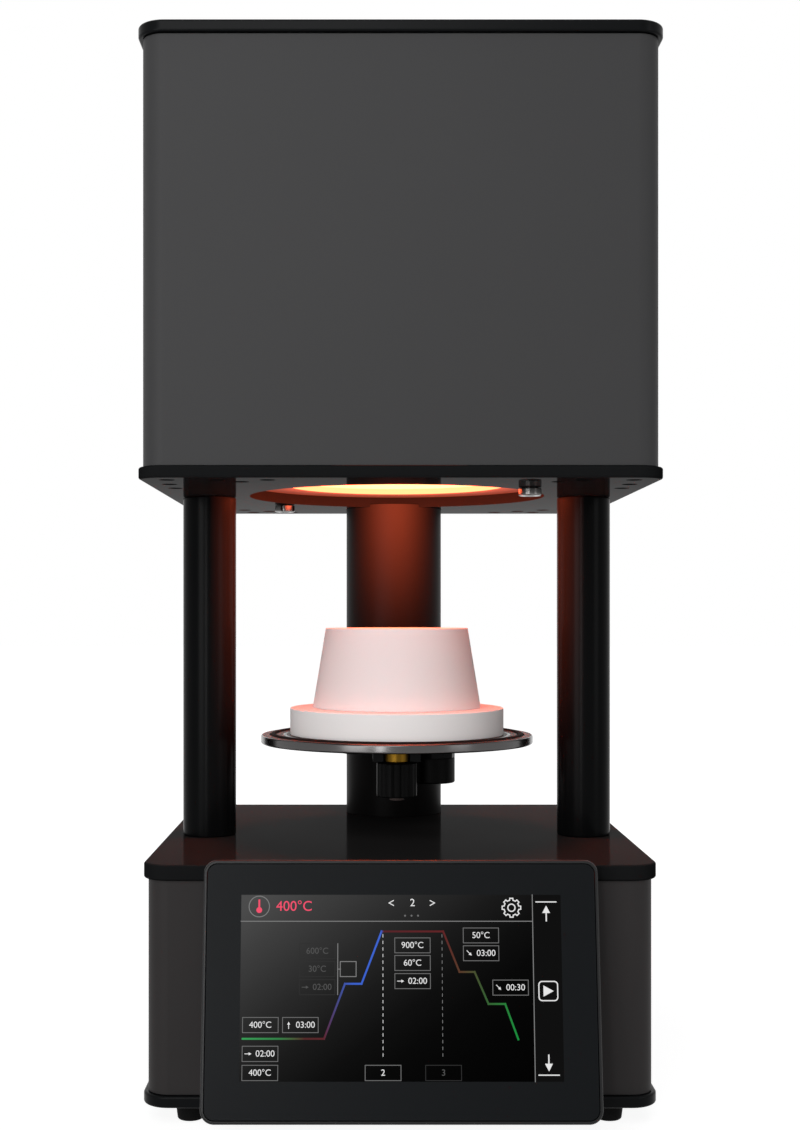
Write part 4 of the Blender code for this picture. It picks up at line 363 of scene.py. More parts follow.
# Value fields: middle, figures, arrow and ink
FIELD_SIZE = (35.3, 14.6)
LABEL_SIZE = 8.6
LABEL_SHIFT = 5
FIELD_ARROW_SHIFT = 11.6
FIELD_ARROW_REACH = 3.2
FIELD_ARROW_LENGTH = 6.6
FIELD_ARROW = (1.5, 0.7)
ARROW_HEAD_SHARE = 1.9
ARROW_WAYS = {"up": (0, -1), "right": (1, 0), "down": (1, 1)}
FIELDS = (
    ((20.4, 126.8), "400°C", "", "bright"),
    ((60.0, 126.8), "03:00", "up", "bright"),
    ((20.4, 154.4), "02:00", "right", "bright"),
    ((20.4, 172.6), "400°C", "", "bright"),
    ((76.4, 55.2), "600°C", "", "dim"),
    ((76.4, 72.7), "30°C", "", "dim"),
    ((76.4, 90.3), "02:00", "right", "dim"),
    ((171.3, 49.6), "900°C", "", "bright"),
    ((171.3, 66.8), "60°C", "", "bright"),
    ((171.3, 84.4), "02:00", "right", "bright"),
    ((239.7, 39.9), "50°C", "", "bright"),
    ((239.7, 57.3), "03:00", "down", "bright"),
    ((268.6, 90.7), "00:30", "down", "bright"),
    ((141.8, 172.6), "2", "", "bright"),
    ((201.4, 172.6), "3", "", "dim"),
)

# Counts of steps on round forms
ROUND_COUNT = 160
FINE_ROUND_COUNT = 256
SMALL_ROUND_COUNT = 48
RING_COUNT = 40
CORNER_COUNT = 14
SLOT_CORNER_COUNT = 6
STROKE_CORNER_COUNT = 2
EDGE_COUNT = 5
EDGE_SEGMENT_COUNT = 3
SHARP_ANGLE = math.radians(32)


def arc(radius, start, end, count, centre=(0, 0)):
    """Points along an arc, both ends included."""
    points = []
    for step in range(count + 1):
        angle = start + (end - start) * step / count
        points.append((centre[0] + radius * math.cos(angle), centre[1] + radius * math.sin(angle)))
    return points


def circle(radius, count=ROUND_COUNT, centre=(0, 0)):
    return arc(radius, 0, math.tau, count, centre)[:-1]


def rounded_rectangle(width, height, corner, count=CORNER_COUNT, centre=(0, 0), inset=0):
    """A rectangle with round corners, whose outline can be moved inwards."""
    points = []
    for quarter, (side_x, side_y) in enumerate(((1, 1), (-1, 1), (-1, -1), (1, -1))):
        middle = (centre[0] + side_x * (width / 2 - corner), centre[1] + side_y * (height / 2 - corner))
        start = quarter * math.pi / 2
        points += arc(corner - inset, start, start + math.pi / 2, count, middle)
    return points


def corners(left, top, right, bottom):
    return [(left, top), (right, top), (right, bottom), (left, bottom)]


def lower_edge(radius, z, edge):
    """Profile round the lower outer edge of a turned piece."""
    return arc(edge, -math.pi / 2, 0, EDGE_COUNT, (radius - edge, z + edge))


def upper_edge(radius, z, edge):
    return arc(edge, 0, math.pi / 2, EDGE_COUNT, (radius - edge, z - edge))


def ring_profile(inner, outer, low, high, edge):
    """Closed profile of a ring with rounded outer edges and a plain bore."""
    return [(inner, low)] + lower_edge(outer, low, edge) + upper_edge(outer, high, edge) + [(inner, high)]


def slab_levels(size, low, high, edge, centre, inset=0):
    """Levels of a plate with rounded edges; its size is width, height and corner radius."""
    return [(rounded_rectangle(*size, centre=centre, inset=inset + edge - reach), z)
            for reach, z in lower_edge(edge, low, edge) + upper_edge(edge, high, edge)]


def skin(rings, closed=False):
    """A mesh through rings of points; closed joins the last ring to the first, without end caps."""
    shape = bmesh.new()
    loops = [[shape.verts.new(point) for point in ring] for ring in rings]
    pairs = list(zip(loops, loops[1:]))
    if closed:
        pairs.append((loops[-1], loops[0]))
    for low, high in pairs:
        for face in zip(low, low[1:] + low[:1], high[1:] + high[:1], high):
            shape.faces.new(face)
    if not closed:
        shape.faces.new(list(reversed(loops[0])))
        shape.faces.new(loops[-1])
    bmesh.ops.recalc_face_normals(shape, faces=shape.faces)
    return shape


def stack(levels, closed=False):
    """A mesh through (outline, z) levels."""
    return skin([[(x, y, z) for x, y in outline] for outline, z in levels], closed)


def prism(outline, low, high):
    return stack([(outline, low), (outline, high)])


def turned(profile, place=(0, 0), count=ROUND_COUNT, closed=False):
    """A mesh turned round an upright axis from (radius, z) points."""
    return stack([(circle(radius, count, place), z) for radius, z in profile], closed)


def carved(profile, place, count, spot, closed=True):
    """A turned mesh whose points are moved; spot gives a point's new radius and height at an angle."""
    rings = []
    for radius, z in profile:
        ring = []
        for step in range(count):
            angle = math.tau * step / count
            reach, height = spot(radius, z, angle)
            ring.append((place[0] + reach * math.cos(angle), place[1] + reach * math.sin(angle), height))
        rings.append(ring)
    return skin(rings, closed)


def joined(shapes):
    """One mesh that holds all the shapes."""
    whole = bmesh.new()
    for shape in shapes:
        part = bpy.data.meshes.new("part")
        shape.to_mesh(part)
        shape.free()
        whole.from_mesh(part)
        bpy.data.meshes.remove(part)
    return whole


def moved(shape, place):
    shape.transform(place)
    return shape


def towards_rear(x, y, z):
    """From a plan with X right and Y up to an upright plane; the plan's Z points to the front."""
    return Matrix.Translation((x, y, z)) @ Matrix.Rotation(math.pi / 2, 4, "X")


def linked(name, data):
    made = bpy.data.objects.new(name, data)
    bpy.context.scene.collection.objects.link(made)
    return made


def smoothed(mesh):
    mesh.shade_smooth()
    mesh.set_sharp_from_angle(angle=SHARP_ANGLE)


def mesh_object(name, shape):
    mesh = bpy.data.meshes.new(name)
    shape.to_mesh(mesh)
    shape.free()
    smoothed(mesh)
    return linked(name, mesh)


def evaluated_mesh(made):
    return bpy.data.meshes.new_from_object(made.evaluated_get(bpy.context.evaluated_depsgraph_get()))


def cut(made, shape, operation="DIFFERENCE"):
    """Changes an object's mesh by a boolean with the shape."""
    tool = mesh_object(made.name + "_tool", shape)
    modifier = made.modifiers.new("cut", "BOOLEAN")
    modifier.operation = operation
    modifier.solver = "EXACT"
    modifier.object = tool
    result = evaluated_mesh(made)
    made.modifiers.clear()
    made.data = result
    smoothed(result)
    bpy.data.objects.remove(tool)


def dressed(made, material, body, slot_name, *nodes):
    """Gives a piece its material and its body, and hides the CAD nodes that it stands for."""
    made.data.materials.clear()
    made.data.materials.append(material)
    if made.type == "MESH":
        made.modifiers.new("weighted", "WEIGHTED_NORMAL").keep_sharp = True
    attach(made, body)
    if nodes:
        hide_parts(*nodes)
    return made


def fine(node, shape, body, slot_name, finish_name="", cutters=()):
    """A finer shape for a node, with its cuts, in the finish of its slot or in one of its own."""
    made = mesh_object(node + "_fine", shape)
    for cutter in cutters:
        cut(made, cutter)
    return dressed(made, finishes[finish_name or slot_name], body, slot_name, node)


def colour(red, green, blue):
    """Linear colour from display values between 0 and 1."""
    return tuple(((value + DISPLAY_LIFT) / (1 + DISPLAY_LIFT)) ** DISPLAY_GAMMA if value > DISPLAY_KNEE
                 else value / DISPLAY_SLOPE for value in (red, green, blue))


def plug(tree, socket, value):
    """Links an input to another node's output, or sets its value."""
    if isinstance(value, bpy.types.NodeSocket):
        tree.links.new(value, socket)
    else:
        socket.default_value = value


def add_node(tree, kind, inputs=None, **settings):
    made = tree.nodes.new(kind)
    for name, value in settings.items():
        setattr(made, name, value)
    for name, value in (inputs or {}).items():
        plug(tree, made.inputs[name], value)
    return made


def maths(tree, operation, *values):
    return add_node(tree, "ShaderNodeMath", dict(enumerate(values)), operation=operation).outputs[0]


def vector_maths(tree, operation, *values, output="Vector"):
    made = add_node(tree, "ShaderNodeVectorMath", dict(enumerate(values)), operation=operation)
    return made.outputs[output]


def mapped(tree, value, start, end, low=0.0, high=1.0, **settings):
    """Maps the range from start to end to the one from low to high."""
    ends = {"From Min": start, "From Max": end, "To Min": low, "To Max": high}
    return add_node(tree, "ShaderNodeMapRange", {"Value": value, **ends}, **settings).outputs["Result"]


def axis_part(tree, vector, axis):
    return add_node(tree, "ShaderNodeSeparateXYZ", {"Vector": vector}).outputs[axis]


def noise(tree, place, scale, detail):
    inputs = {"Vector": place, "Scale": scale, "Detail": detail}
    return add_node(tree, "ShaderNodeTexNoise", inputs).outputs["Fac"]


def object_place(tree, offset=(0, 0, 0), scale=(1, 1, 1)):
    """Object coordinates, scaled and then moved."""
    place = add_node(tree, "ShaderNodeTexCoord").outputs["Object"]
    inputs = {"Vector": place, "Location": offset, "Scale": scale}
    return add_node(tree, "ShaderNodeMapping", inputs).outputs[0]


def ramp(tree, value, stops):
    """Colour ramp with (position, colour) stops."""
    made = add_node(tree, "ShaderNodeValToRGB", {"Fac": value})
    elements = made.color_ramp.elements
    while len(elements) < len(stops):
        elements.new(NEW_STOP)
    for element, (position, stop_colour) in zip(elements, stops):
        element.position = position
        element.color = (*stop_colour, 1.0)
    return made.outputs["Color"]


def new_material(name):
    material = bpy.data.materials.new(name)
    material.use_nodes = True
    return material


def shaded(material, inputs):
    """Sets or links inputs of a material's shader."""
    tree = material.node_tree
    for name, value in inputs.items():
        plug(tree, tree.nodes["Principled BSDF"].inputs[name], value)
    return material


def lit(material, strength, light=GLOW_COLOUR):
    return shaded(material, {"Emission Color": (*light, 1.0), "Emission Strength": strength})


def turning_marks(tree, pitch):
    """Fine rings round the firing axis."""
    inputs = {"Vector": object_place(tree, (0, -axis_y, 0)), "Scale": WAVE_PERIOD / pitch,
              "Distortion": WAVE_DISTORTION, "Detail": WAVE_DETAIL}
    return add_node(tree, "ShaderNodeTexWave", inputs, wave_type="RINGS", rings_direction="Z").outputs["Fac"]


def finish(name, base, roughness, grain, relief, variation, inputs, stretch=(1, 1, 1), pitch=None):
    """A material whose colour, roughness and relief vary with a fine grain, or with turning marks."""
    material = new_material(name)
    tree = material.node_tree
    grains = noise(tree, object_place(tree, scale=stretch), grain, GRAIN_DETAIL)
    height = turning_marks(tree, pitch) if pitch else grains
    patches = noise(tree, object_place(tree), PATCH_SCALE, PATCH_DETAIL)
    mixed = maths(tree, "ADD", grains, patches)
    level = mapped(tree, mixed, 0.0, 2.0, 1 - 2 * variation, 1 + 2 * variation)
    low, high = ROUGHNESS_SHARES
    bump = add_node(tree, "ShaderNodeBump", {"Height": height, "Strength": relief, "Distance": RELIEF_DEPTH})
    shaded(material, {
        "Base Color": add_node(tree, "ShaderNodeVectorMath", {0: base, "Scale": level},
                               operation="SCALE").outputs["Vector"],
        "Roughness": mapped(tree, mixed, 0.0, 1.0, roughness * low, roughness * high),
        "Normal": bump.outputs["Normal"],
    })
    return shaded(material, inputs)


def add_glow(material, stops):
    """Makes a surface glow by its radius round the firing axis, from three (radius, strength) stops."""
    tree = material.node_tree
    flat = object_place(tree, (0, -axis_y, 0), (1, 1, 0))
    radius = vector_maths(tree, "LENGTH", flat, output="Value")
    (first, strong), (middle, weak), (last, end) = stops
    inner = mapped(tree, radius, first, middle, strong - weak, 0.0)
    outer = mapped(tree, radius, middle, last, weak, end)
    lit(material, maths(tree, "ADD", inner, outer))


def paint_mouth_light(material, strength, power, focus, fade_low, fade_high):
    """Paints the chamber's warm light onto a dark piece as emission, on the sides that face the mouth:
    painted glow.

    The painted light falls with the power of the distance, and fades out between two heights.
    """
    tree = material.node_tree
    surface = add_node(tree, "ShaderNodeNewGeometry").outputs
    mouth = (0, axis_y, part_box("seal_flange")[0].z)
    towards = vector_maths(tree, "SUBTRACT", mouth, surface["Position"])
    reach = vector_maths(tree, "LENGTH", towards, output="Value")
    fading = maths(tree, "POWER", maths(tree, "DIVIDE", GLOW_REACH, reach), power)
    heading = vector_maths(tree, "NORMALIZE", towards)
    facing = vector_maths(tree, "DOT_PRODUCT", heading, surface["Normal"], output="Value")
    focused = maths(tree, "POWER", maths(tree, "MAXIMUM", facing, 0.0), focus)
    height = axis_part(tree, surface["Position"], "Z")
    shown = mapped(tree, height, fade_low, fade_high, 0.0, strength, interpolation_type="SMOOTHSTEP")
    lit(material, maths(tree, "MULTIPLY", maths(tree, "MULTIPLY", focused, fading), shown))


def tinted(material, factor, other):
    """Keeps the base colour where the factor is 1, and takes the other colour where it is 0."""
    tree = material.node_tree
    base = tree.nodes["Principled BSDF"].inputs["Base Color"].links[0].from_socket
    mixed = add_node(tree, "ShaderNodeMix", {"Factor": factor, "A": (*other, 1.0), "B": base},
                     data_type="RGBA")
    shaded(material, {"Base Color": mixed.outputs["Result"]})


def paint_edge_shade(material, side):
    """Painted shade on a plate's edges: leaves the base colour only on faces that point along Z by the side's
    sign, and darkens the other faces.
    """
    tree = material.node_tree
    height = axis_part(tree, add_node(tree, "ShaderNodeNewGeometry").outputs["Normal"], "Z")
    tinted(material, mapped(tree, height, side * FACING_SHARE, side), PAINTED_EDGE_SHADE)


def bare_rim(material, low, high):
    """Leaves only the band between two heights as bare metal; the rest is not metallic and takes a dark
    reddish colour.
    """
    tree = material.node_tree
    height = axis_part(tree, object_place(tree), "Z")
    rim = maths(tree, "MULTIPLY", maths(tree, "GREATER_THAN", height, low),
                maths(tree, "LESS_THAN", height, high))
    shaded(material, {"Metallic": rim})
    tinted(material, rim, TABLE_TOP_COLOUR)


def screen_ink(name, ink=(0, 0, 0)):
    """Lit marks under the display's glass."""
    return lit(finish("screen_" + name + "_ink", INK_BASE, *INK_LOOK), 1.0, ink)


def middle_of(node):
    low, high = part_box(node)
    return (low + high) / 2


def radius_of(node):
    low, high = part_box(node)
    return (high.x - low.x) / 2


# Places read from the frame
axis_y = middle_of("plinth_base").y
firing_axis = (0, axis_y)
column_side = middle_of("column_right").x
column_y = middle_of("column_right").y
rear_column_y = middle_of("rear_column").y
table_radius = radius_of("table_disc")


def make_finishes():
    """Materials by name; each record slot has one, and a few pieces have their own."""
    made = {}
    for name, shown, *look in FINISHES:
        made[name] = finish(name, colour(*shown), *look, GRAIN_STRETCHES.get(name, (1, 1, 1)),
                            TURNING_PITCHES.get(name))
    # painted glow of the chamber on dark pieces
    for name, *light in PAINTED_MOUTH_LIGHTS:
        paint_mouth_light(made[name], *light)
    add_glow(made["hot_fibre"], ((HEATER_RADIUS + PLAY, GLOW_STRENGTH),
                                 (HEATER_RADIUS + FIBRE_GLOW_FALL, 0.0), (table_radius, 0.0)))
    add_glow(made["hot_steel_painted_glow"], ((MOUTH_RADIUS + PLAY / 2, GLOW_STRENGTH),
                                 (MOUTH_RADIUS + PLAY, RIM_GLOW_STRENGTH),
                                 (table_radius, OUTER_GLOW_STRENGTH)))
    lit(made["hot_wire"], WIRE_GLOW_STRENGTH)
    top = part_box("table_disc")[1].z
    bare_rim(made["table_steel"], top - TABLE_THICK, top - RIM_SLACK)
    # painted shade on the edges of the hood bottom plate and the base top plate
    paint_edge_shade(made["under_plate_painted_light"], -1)
    paint_edge_shade(made["deck_plate_painted_light"], 1)
    return made


finishes = make_finishes()


def row(count, pitch):
    """Places of evenly spaced features round 0."""
    return [(number - (count - 1) / 2) * pitch for number in range(count)]


def slot_outline(width, height, centre):
    return rounded_rectangle(width, height, min(width, height) * SLOT_CORNER_SHARE, SLOT_CORNER_COUNT, centre)


def through(node, outline):
    """A cutter through a plate."""
    low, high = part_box(node)
    return prism(outline, low.z - OVERRUN, high.z + OVERRUN)


def hole(node, radius, x, y, count=SMALL_ROUND_COUNT):
    return through(node, circle(radius, count, (x, y)))


def vent_holes(node):
    low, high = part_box(node)
    holes = []
    for shares, edge, inwards in ((FRONT_VENT_SHARES, low.y, 1), (REAR_VENT_SHARES, high.y, -1)):
        for along, back in shares:
            x = high.x - VENT_MARGIN - along * VENT_PITCH
            y = edge + inwards * (VENT_MARGIN + back * VENT_PITCH)
            holes += [hole(node, VENT_RADIUS, x, y), hole(node, VENT_RADIUS, -x, y)]
    return holes


def line_holes(node):
    """Holes for the lead screw's bearing and for the lines in the front columns."""
    bearing = radius_of("spindle_upper_bearing") - BEARING_FLANGE_REACH + PLAY
    line = LINE_RADIUS + LINE_HOLE_GAP
    return [hole(node, bearing, 0, rear_column_y)] + [hole(node, line, side * column_side, column_y)
                                                      for side in (-1, 1)]


def add_plate(node, finish_name, cutters):
    """A casing plate with finely rounded corners and edges."""
    low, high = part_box(node)
    size = (high.x - low.x, high.y - low.y, CORNER_RADIUS)
    levels = slab_levels(size, low.z, high.z, PLATE_EDGE, (0, middle_of(node).y))
    fine(node, stack(levels), "base", "black_plate", finish_name, cutters)


def add_plates():
    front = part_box("hood_bottom_plate")[0].y
    slots = [through("base_bottom_plate", slot_outline(*INTAKE_SLOT, (x, front + depth)))
             for depth in INTAKE_DEPTHS for x in row(INTAKE_SLOT_COUNT, INTAKE_SLOT_PITCH)]
    add_plate("base_bottom_plate", "black_plate", [joined(slots)])
    add_plate("base_top_plate", "deck_plate_painted_light", [joined(line_holes("base_top_plate"))])

    node = "hood_bottom_plate"
    holes = line_holes(node) + vent_holes(node)
    holes.append(hole(node, table_radius + OPENING_GAP, *firing_axis, FINE_ROUND_COUNT))
    holes += [hole(node, FLANGE_SCREW_HOLE_RADIUS, *middle_of(screw).xy) for screw in FLANGE_SCREWS]
    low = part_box(node)[0].z
    seat = prism(circle(radius_of("rear_column") + PLAY, ROUND_COUNT, (0, rear_column_y)),
                 low - OVERRUN, low + COLUMN_SEAT)
    add_plate(node, "under_plate_painted_light", [joined(holes), seat])
    add_plate("hood_top_plate", "black_plate", [])


def add_shell(node, slot_name, windows):
    """An upright sheet shell, open above and below, with windows in its rear wall."""
    low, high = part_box(node)
    size = (high.x - low.x, high.y - low.y, CORNER_RADIUS - SHELL_INSET)
    middle = (0, middle_of(node).y)
    outer = rounded_rectangle(*size, centre=middle)
    inner = rounded_rectangle(*size, centre=middle, inset=SHELL_WALL)
    levels = [(outer, low.z), (outer, high.z), (inner, high.z), (inner, low.z)]
    cutters = [prism(outline, -OVERRUN, SHELL_WALL + OVERRUN) for outline in windows]
    fine(node, stack(levels, closed=True), "base", slot_name,
         cutters=[moved(joined(cutters), towards_rear(0, high.y, 0))])


def fan_windows():
    """Guard slots and screw holes of the cooling fan."""
    fan = middle_of("fan_frame")
    pairs = math.floor((FAN_BORE_RADIUS - GUARD_SLOT_HEIGHT) / GUARD_SLOT_PITCH)
    outlines = []
    for number in range(-pairs, pairs + 1):
        rise = number * GUARD_SLOT_PITCH
        reach = abs(rise) + GUARD_SLOT_HEIGHT / 2
        length = 2 * math.sqrt(FAN_BORE_RADIUS ** 2 - reach ** 2)
        outlines.append(slot_outline(length, GUARD_SLOT_HEIGHT, (fan.x, fan.z + rise)))
    corner = radius_of("fan_frame") - FAN_SCREW_INSET
    for x, z in corners(fan.x - corner, fan.z - corner, fan.x + corner, fan.z + corner):
        outlines.append(circle(FAN_SCREW_RADIUS, SMALL_ROUND_COUNT, (x, z)))
    return outlines


def add_shells():
    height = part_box("hood_shell")[1].z + PLAY - HOOD_SLOT_DROP
    slots = [slot_outline(*HOOD_SLOT, (x, height)) for x in row(HOOD_SLOT_COUNT, HOOD_SLOT_PITCH)]
    add_shell("hood_shell", "hood_paint", slots)

    windows = fan_windows()
    for node, window in (("mains_inlet", ENTRY_WINDOW), ("pump_socket", SOCKET_WINDOW)):
        windows.append(rounded_rectangle(*window, WINDOW_CORNER, centre=middle_of(node).xz))
    windows.append(circle(NIPPLE_WINDOW_RADIUS, SMALL_ROUND_COUNT, middle_of("vacuum_nipple").xz))
    add_shell("base_shell", "base_paint", windows)


def add_ring(node, bore, edge, body, slot_name, finish_name, place=firing_axis, count=ROUND_COUNT):
    """A node that is a plain ring, with rounded outer edges."""
    low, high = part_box(node)
    profile = ring_profile(bore, radius_of(node), low.z, high.z, edge)
    fine(node, turned(profile, place, count, closed=True), body, slot_name, finish_name)


def add_columns():
    for node in ("column_left", "column_right"):
        add_ring(node, radius_of(node) - COLUMN_WALL, COLUMN_EDGE, "base", "gloss_black", "column_black_painted_glow",
                 (middle_of(node).x, column_y))

    low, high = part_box("rear_column")
    radius = radius_of("rear_column")
    inner = radius - COLUMN_WALL
    profile = [(inner, low.z), (radius, low.z), (radius, high.z), (inner, high.z)]
    slot = rounded_rectangle(2 * KEY_SLOT_HALF_WIDTH, KEY_SLOT_HIGH - KEY_SLOT_LOW, PLAY,
                             centre=(0, (KEY_SLOT_HIGH + KEY_SLOT_LOW) / 2))
    cutter = moved(prism(slot, -radius - OVERRUN, -radius / 2), towards_rear(0, rear_column_y, 0))
    fine("rear_column", turned(profile, (0, rear_column_y), closed=True), "base", "gloss_black", "rear_black_painted_light",
         [cutter])


def add_table():
    low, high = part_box("table_disc")
    base = high.z - TABLE_THICK
    groove = SEAL_SECTION / 2 + PLAY
    floor = high.z - SEAL_SECTION + SEAL_PROUD - PLAY
    seal = table_radius - SEAL_INSET
    drip = radius_of("plinth_base") + DRIP_GROOVE_WIDTH
    profile = [(STEM_RADIUS, low.z), (STEM_RADIUS, base)]
    profile += lower_edge(table_radius, base, TABLE_EDGE) + upper_edge(table_radius, high.z, TABLE_EDGE)
    profile += [(seal + groove, high.z), (seal + groove, floor), (seal - groove, floor),
                (seal - groove, high.z), (drip + DRIP_GROOVE_WIDTH, high.z),
                (drip + DRIP_GROOVE_WIDTH / 2, high.z - DRIP_GROOVE_DEPTH), (drip, high.z)]
    fine("table_disc", turned(profile, firing_axis, FINE_ROUND_COUNT), "lift", "table_steel")

    section = circle(SEAL_SECTION / 2, SMALL_ROUND_COUNT, (seal, middle_of("table_seal").z))
    fine("table_seal", turned(section, firing_axis, FINE_ROUND_COUNT, closed=True), "lift", "foot_rubber")

    for node, taper, edge, finish_name in (("plinth_base", 0, CERAMIC_EDGE, "white_ceramic"),
                                           ("plinth_cone", CONE_TAPER, CONE_EDGE, "cone_ceramic_painted_shade")):
        low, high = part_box(node)
        profile = lower_edge(radius_of(node), low.z - CERAMIC_SINK, PLAY)
        profile += upper_edge(radius_of(node) - taper, high.z, edge)
        fine(node, turned(profile, firing_axis, FINE_ROUND_COUNT), "lift", "white_ceramic", finish_name)


def add_clamp():
    """Brass bush, fluted knob and the boss under the arm."""
    bore = STEM_RADIUS + PLAY
    add_ring("table_bush", bore, CERAMIC_EDGE / 2, "lift", "bush_brass", "bush_brass")

    def fluted(radius, z, angle):
        flute = max(0, math.cos(KNOB_FLUTE_COUNT * angle)) ** 2
        return radius - (KNOB_FLUTE_DEPTH * flute if radius > bore else 0), z

    low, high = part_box("clamp_knob")
    profile = ring_profile(bore, radius_of("clamp_knob"), low.z, high.z, CERAMIC_EDGE)
    fine("clamp_knob", carved(profile, firing_axis, ROUND_COUNT, fluted), "knob", "black_plastic")

    low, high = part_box("arm_boss")
    radius = radius_of("arm_boss")
    profile = [(BOSS_BORE_RADIUS, low.z + BOSS_BORE_DEPTH), (BOSS_BORE_RADIUS, low.z)]
    profile += lower_edge(radius, low.z, BOSS_EDGE) + [(radius, high.z)]
    fine("arm_boss", turned(profile, middle_of("arm_boss")), "lift", "black_plastic")


def add_chamber():
    """Flange and insulation rings, whose inner faces glow from the heat; the flange's weaker glow outside its
    bore is painted glow of the chamber's light.
    """
    for node, bore, slot_name, finish_name in (
        ("seal_flange", MOUTH_RADIUS, "table_steel", "hot_steel_painted_glow"),
        ("muffle_collar", MOUTH_RADIUS, "fibre_insulation", "hot_fibre"),
        ("muffle_wall", HEATER_RADIUS, "fibre_insulation", "hot_fibre"),
    ):
        add_ring(node, bore, PLAY, "base", slot_name, finish_name, count=FINE_ROUND_COUNT)


def add_screws():
    """Socket-head screws of the seal flange."""
    for node in FLANGE_SCREWS:
        low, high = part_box(node)
        middle = middle_of(node)
        radius = radius_of(node)
        head = high.z - SHANK_LENGTH
        profile = lower_edge(radius, low.z, CERAMIC_EDGE) + upper_edge(radius, head, CERAMIC_EDGE / 2)
        profile += [(SHANK_RADIUS, head), (SHANK_RADIUS, high.z)]
        socket = prism(circle(radius * SOCKET_RADIUS_SHARE, HEXAGON_COUNT, middle), low.z - OVERRUN,
                       low.z + radius * SOCKET_DEPTH_SHARE)
        fine(node, turned(profile, middle), "base", "bare_steel", "screw_steel", [socket])


def add_feet():
    for place in ("front_left", "front_right", "rear_left", "rear_right"):
        node = "foot_" + place
        low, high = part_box(node)
        profile = lower_edge(FOOT_TIP_RADIUS, low.z, PLATE_EDGE) + [(radius_of(node), high.z)]
        fine(node, turned(profile, middle_of(node)), "base", "foot_rubber")


def display_place():
    """From the face's own plan, X right and Y up with Z towards the viewer, to the world."""
    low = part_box("display_frame")[0]
    face_low = low.z + DISPLAY_THICK * math.sin(DISPLAY_TILT)
    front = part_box("display_glass")[0].y - (DISPLAY_RIM + PLAY) * math.sin(DISPLAY_TILT)
    turn = Matrix.Rotation(math.pi / 2 - DISPLAY_TILT, 4, "X")
    return Matrix.Translation((0, front, face_low)) @ turn


def add_display_body():
    """Tray frame, with the cavity for glass, panel and board, and the cover glass."""
    inner = rounded_rectangle(*DISPLAY_SIZE, centre=DISPLAY_MIDDLE, inset=DISPLAY_RIM)
    cavity = GLASS_THICK + PANEL_THICK + BOARD_THICK + 3 * PLAY
    tray = slab_levels(DISPLAY_SIZE, -DISPLAY_THICK, 0, DISPLAY_EDGE, DISPLAY_MIDDLE)
    tray += [(inner, 0), (inner, -cavity)]
    fine("display_frame", moved(stack(tray), display_place()), "base", "gloss_black", "frame_black_painted_light")
    glass = slab_levels(DISPLAY_SIZE, -GLASS_THICK, 0, GLASS_EDGE, DISPLAY_MIDDLE, DISPLAY_RIM + PLAY)
    fine("display_glass", moved(stack(glass), display_place()), "base", "screen_glass")


def on_screen(x, y):
    """A place in points, as a place on the display's face."""
    return ((x - SCREEN_WIDTH / 2) * POINT, SCREEN_TOP - y * POINT)


def ink_patch(outline, layer=MARK_LAYER):
    """A thin lit patch; the outline is in points."""
    return prism([on_screen(x, y) for x, y in outline], layer * LAYER, (layer + 1) * LAYER)


def bar(start, end, width, layer=MARK_LAYER):
    """A straight stroke between two places in points."""
    along = (Vector(end) - Vector(start)).normalized()
    side = Vector((-along.y, along.x)) * width / 2
    reach = along * width / 2
    first = Vector(start) - reach
    last = Vector(end) + reach
    return ink_patch([first + side, last + side, last - side, first - side], layer)


def outline_bars(outline, width):
    return [bar(start, end, width) for start, end in zip(outline, outline[1:] + outline[:1])]


def box_corners(centre, size):
    (x, y), (width, height) = centre, size
    return corners(x - width / 2, y - height / 2, x + width / 2, y + height / 2)


def ring_bars(centre, radius, width):
    return outline_bars(circle(radius, RING_COUNT, centre), width)


def arrow(tip, way, length, head, width):
    """An arrow whose tip is at a place in points; its way is (right, down)."""
    along = Vector(way).normalized()
    side = Vector((-along.y, along.x))
    tip = Vector(tip)
    neck = tip - along * head * ARROW_HEAD_SHARE
    start = tip - along * length
    return [ink_patch([tip, neck + side * head, neck - side * head]), bar(start, neck, width)]


def gear():
    """A gear's outline, and its hole."""
    outline = []
    for tooth in range(GEAR_TOOTH_COUNT):
        for turn, share in GEAR_TOOTH_SHARES:
            angle = math.tau * (tooth + turn) / GEAR_TOOTH_COUNT
            outline.append((GEAR_PLACE[0] + GEAR_RADIUS * share * math.cos(angle),
                            GEAR_PLACE[1] + GEAR_RADIUS * share * math.sin(angle)))
    hole_radius = GEAR_RADIUS * GEAR_HOLE_SHARE
    return outline_bars(outline, ICON_WIDTH) + ring_bars(GEAR_PLACE, hole_radius, ICON_WIDTH)


def icons():
    """Gear, the side bar's lift and play keys, and the brackets beside the program's number."""
    shapes = gear() + outline_bars(rounded_rectangle(*PLAY_KEY), ICON_WIDTH) + [ink_patch(PLAY_ARROW)]
    shapes += [bar(*ends, ICON_WIDTH) for ends in LIFT_STOPS]
    shapes += [bar(*ends, BRACKET_WIDTH) for ends in BRACKETS]
    for placed in LIFT_ARROWS:
        shapes += arrow(*placed, *LIFT_ARROW)
    return shapes


def lettering(name, text, centre, size, ink):
    """Plain figures on the screen, centred on a place in points."""
    words = bpy.data.curves.new(name, "FONT")
    words.body = text
    words.size = size * POINT
    words.align_x = "CENTER"
    words.align_y = "CENTER"
    words.extrude = LAYER / 2
    maker = linked(name + "_maker", words)
    mesh = evaluated_mesh(maker)
    bpy.data.objects.remove(maker)
    mesh.transform(display_place() @ Matrix.Translation((*on_screen(*centre), (MARK_LAYER + 1) * LAYER)))
    dressed(linked(name, mesh), ink, "base", "screen_glass")


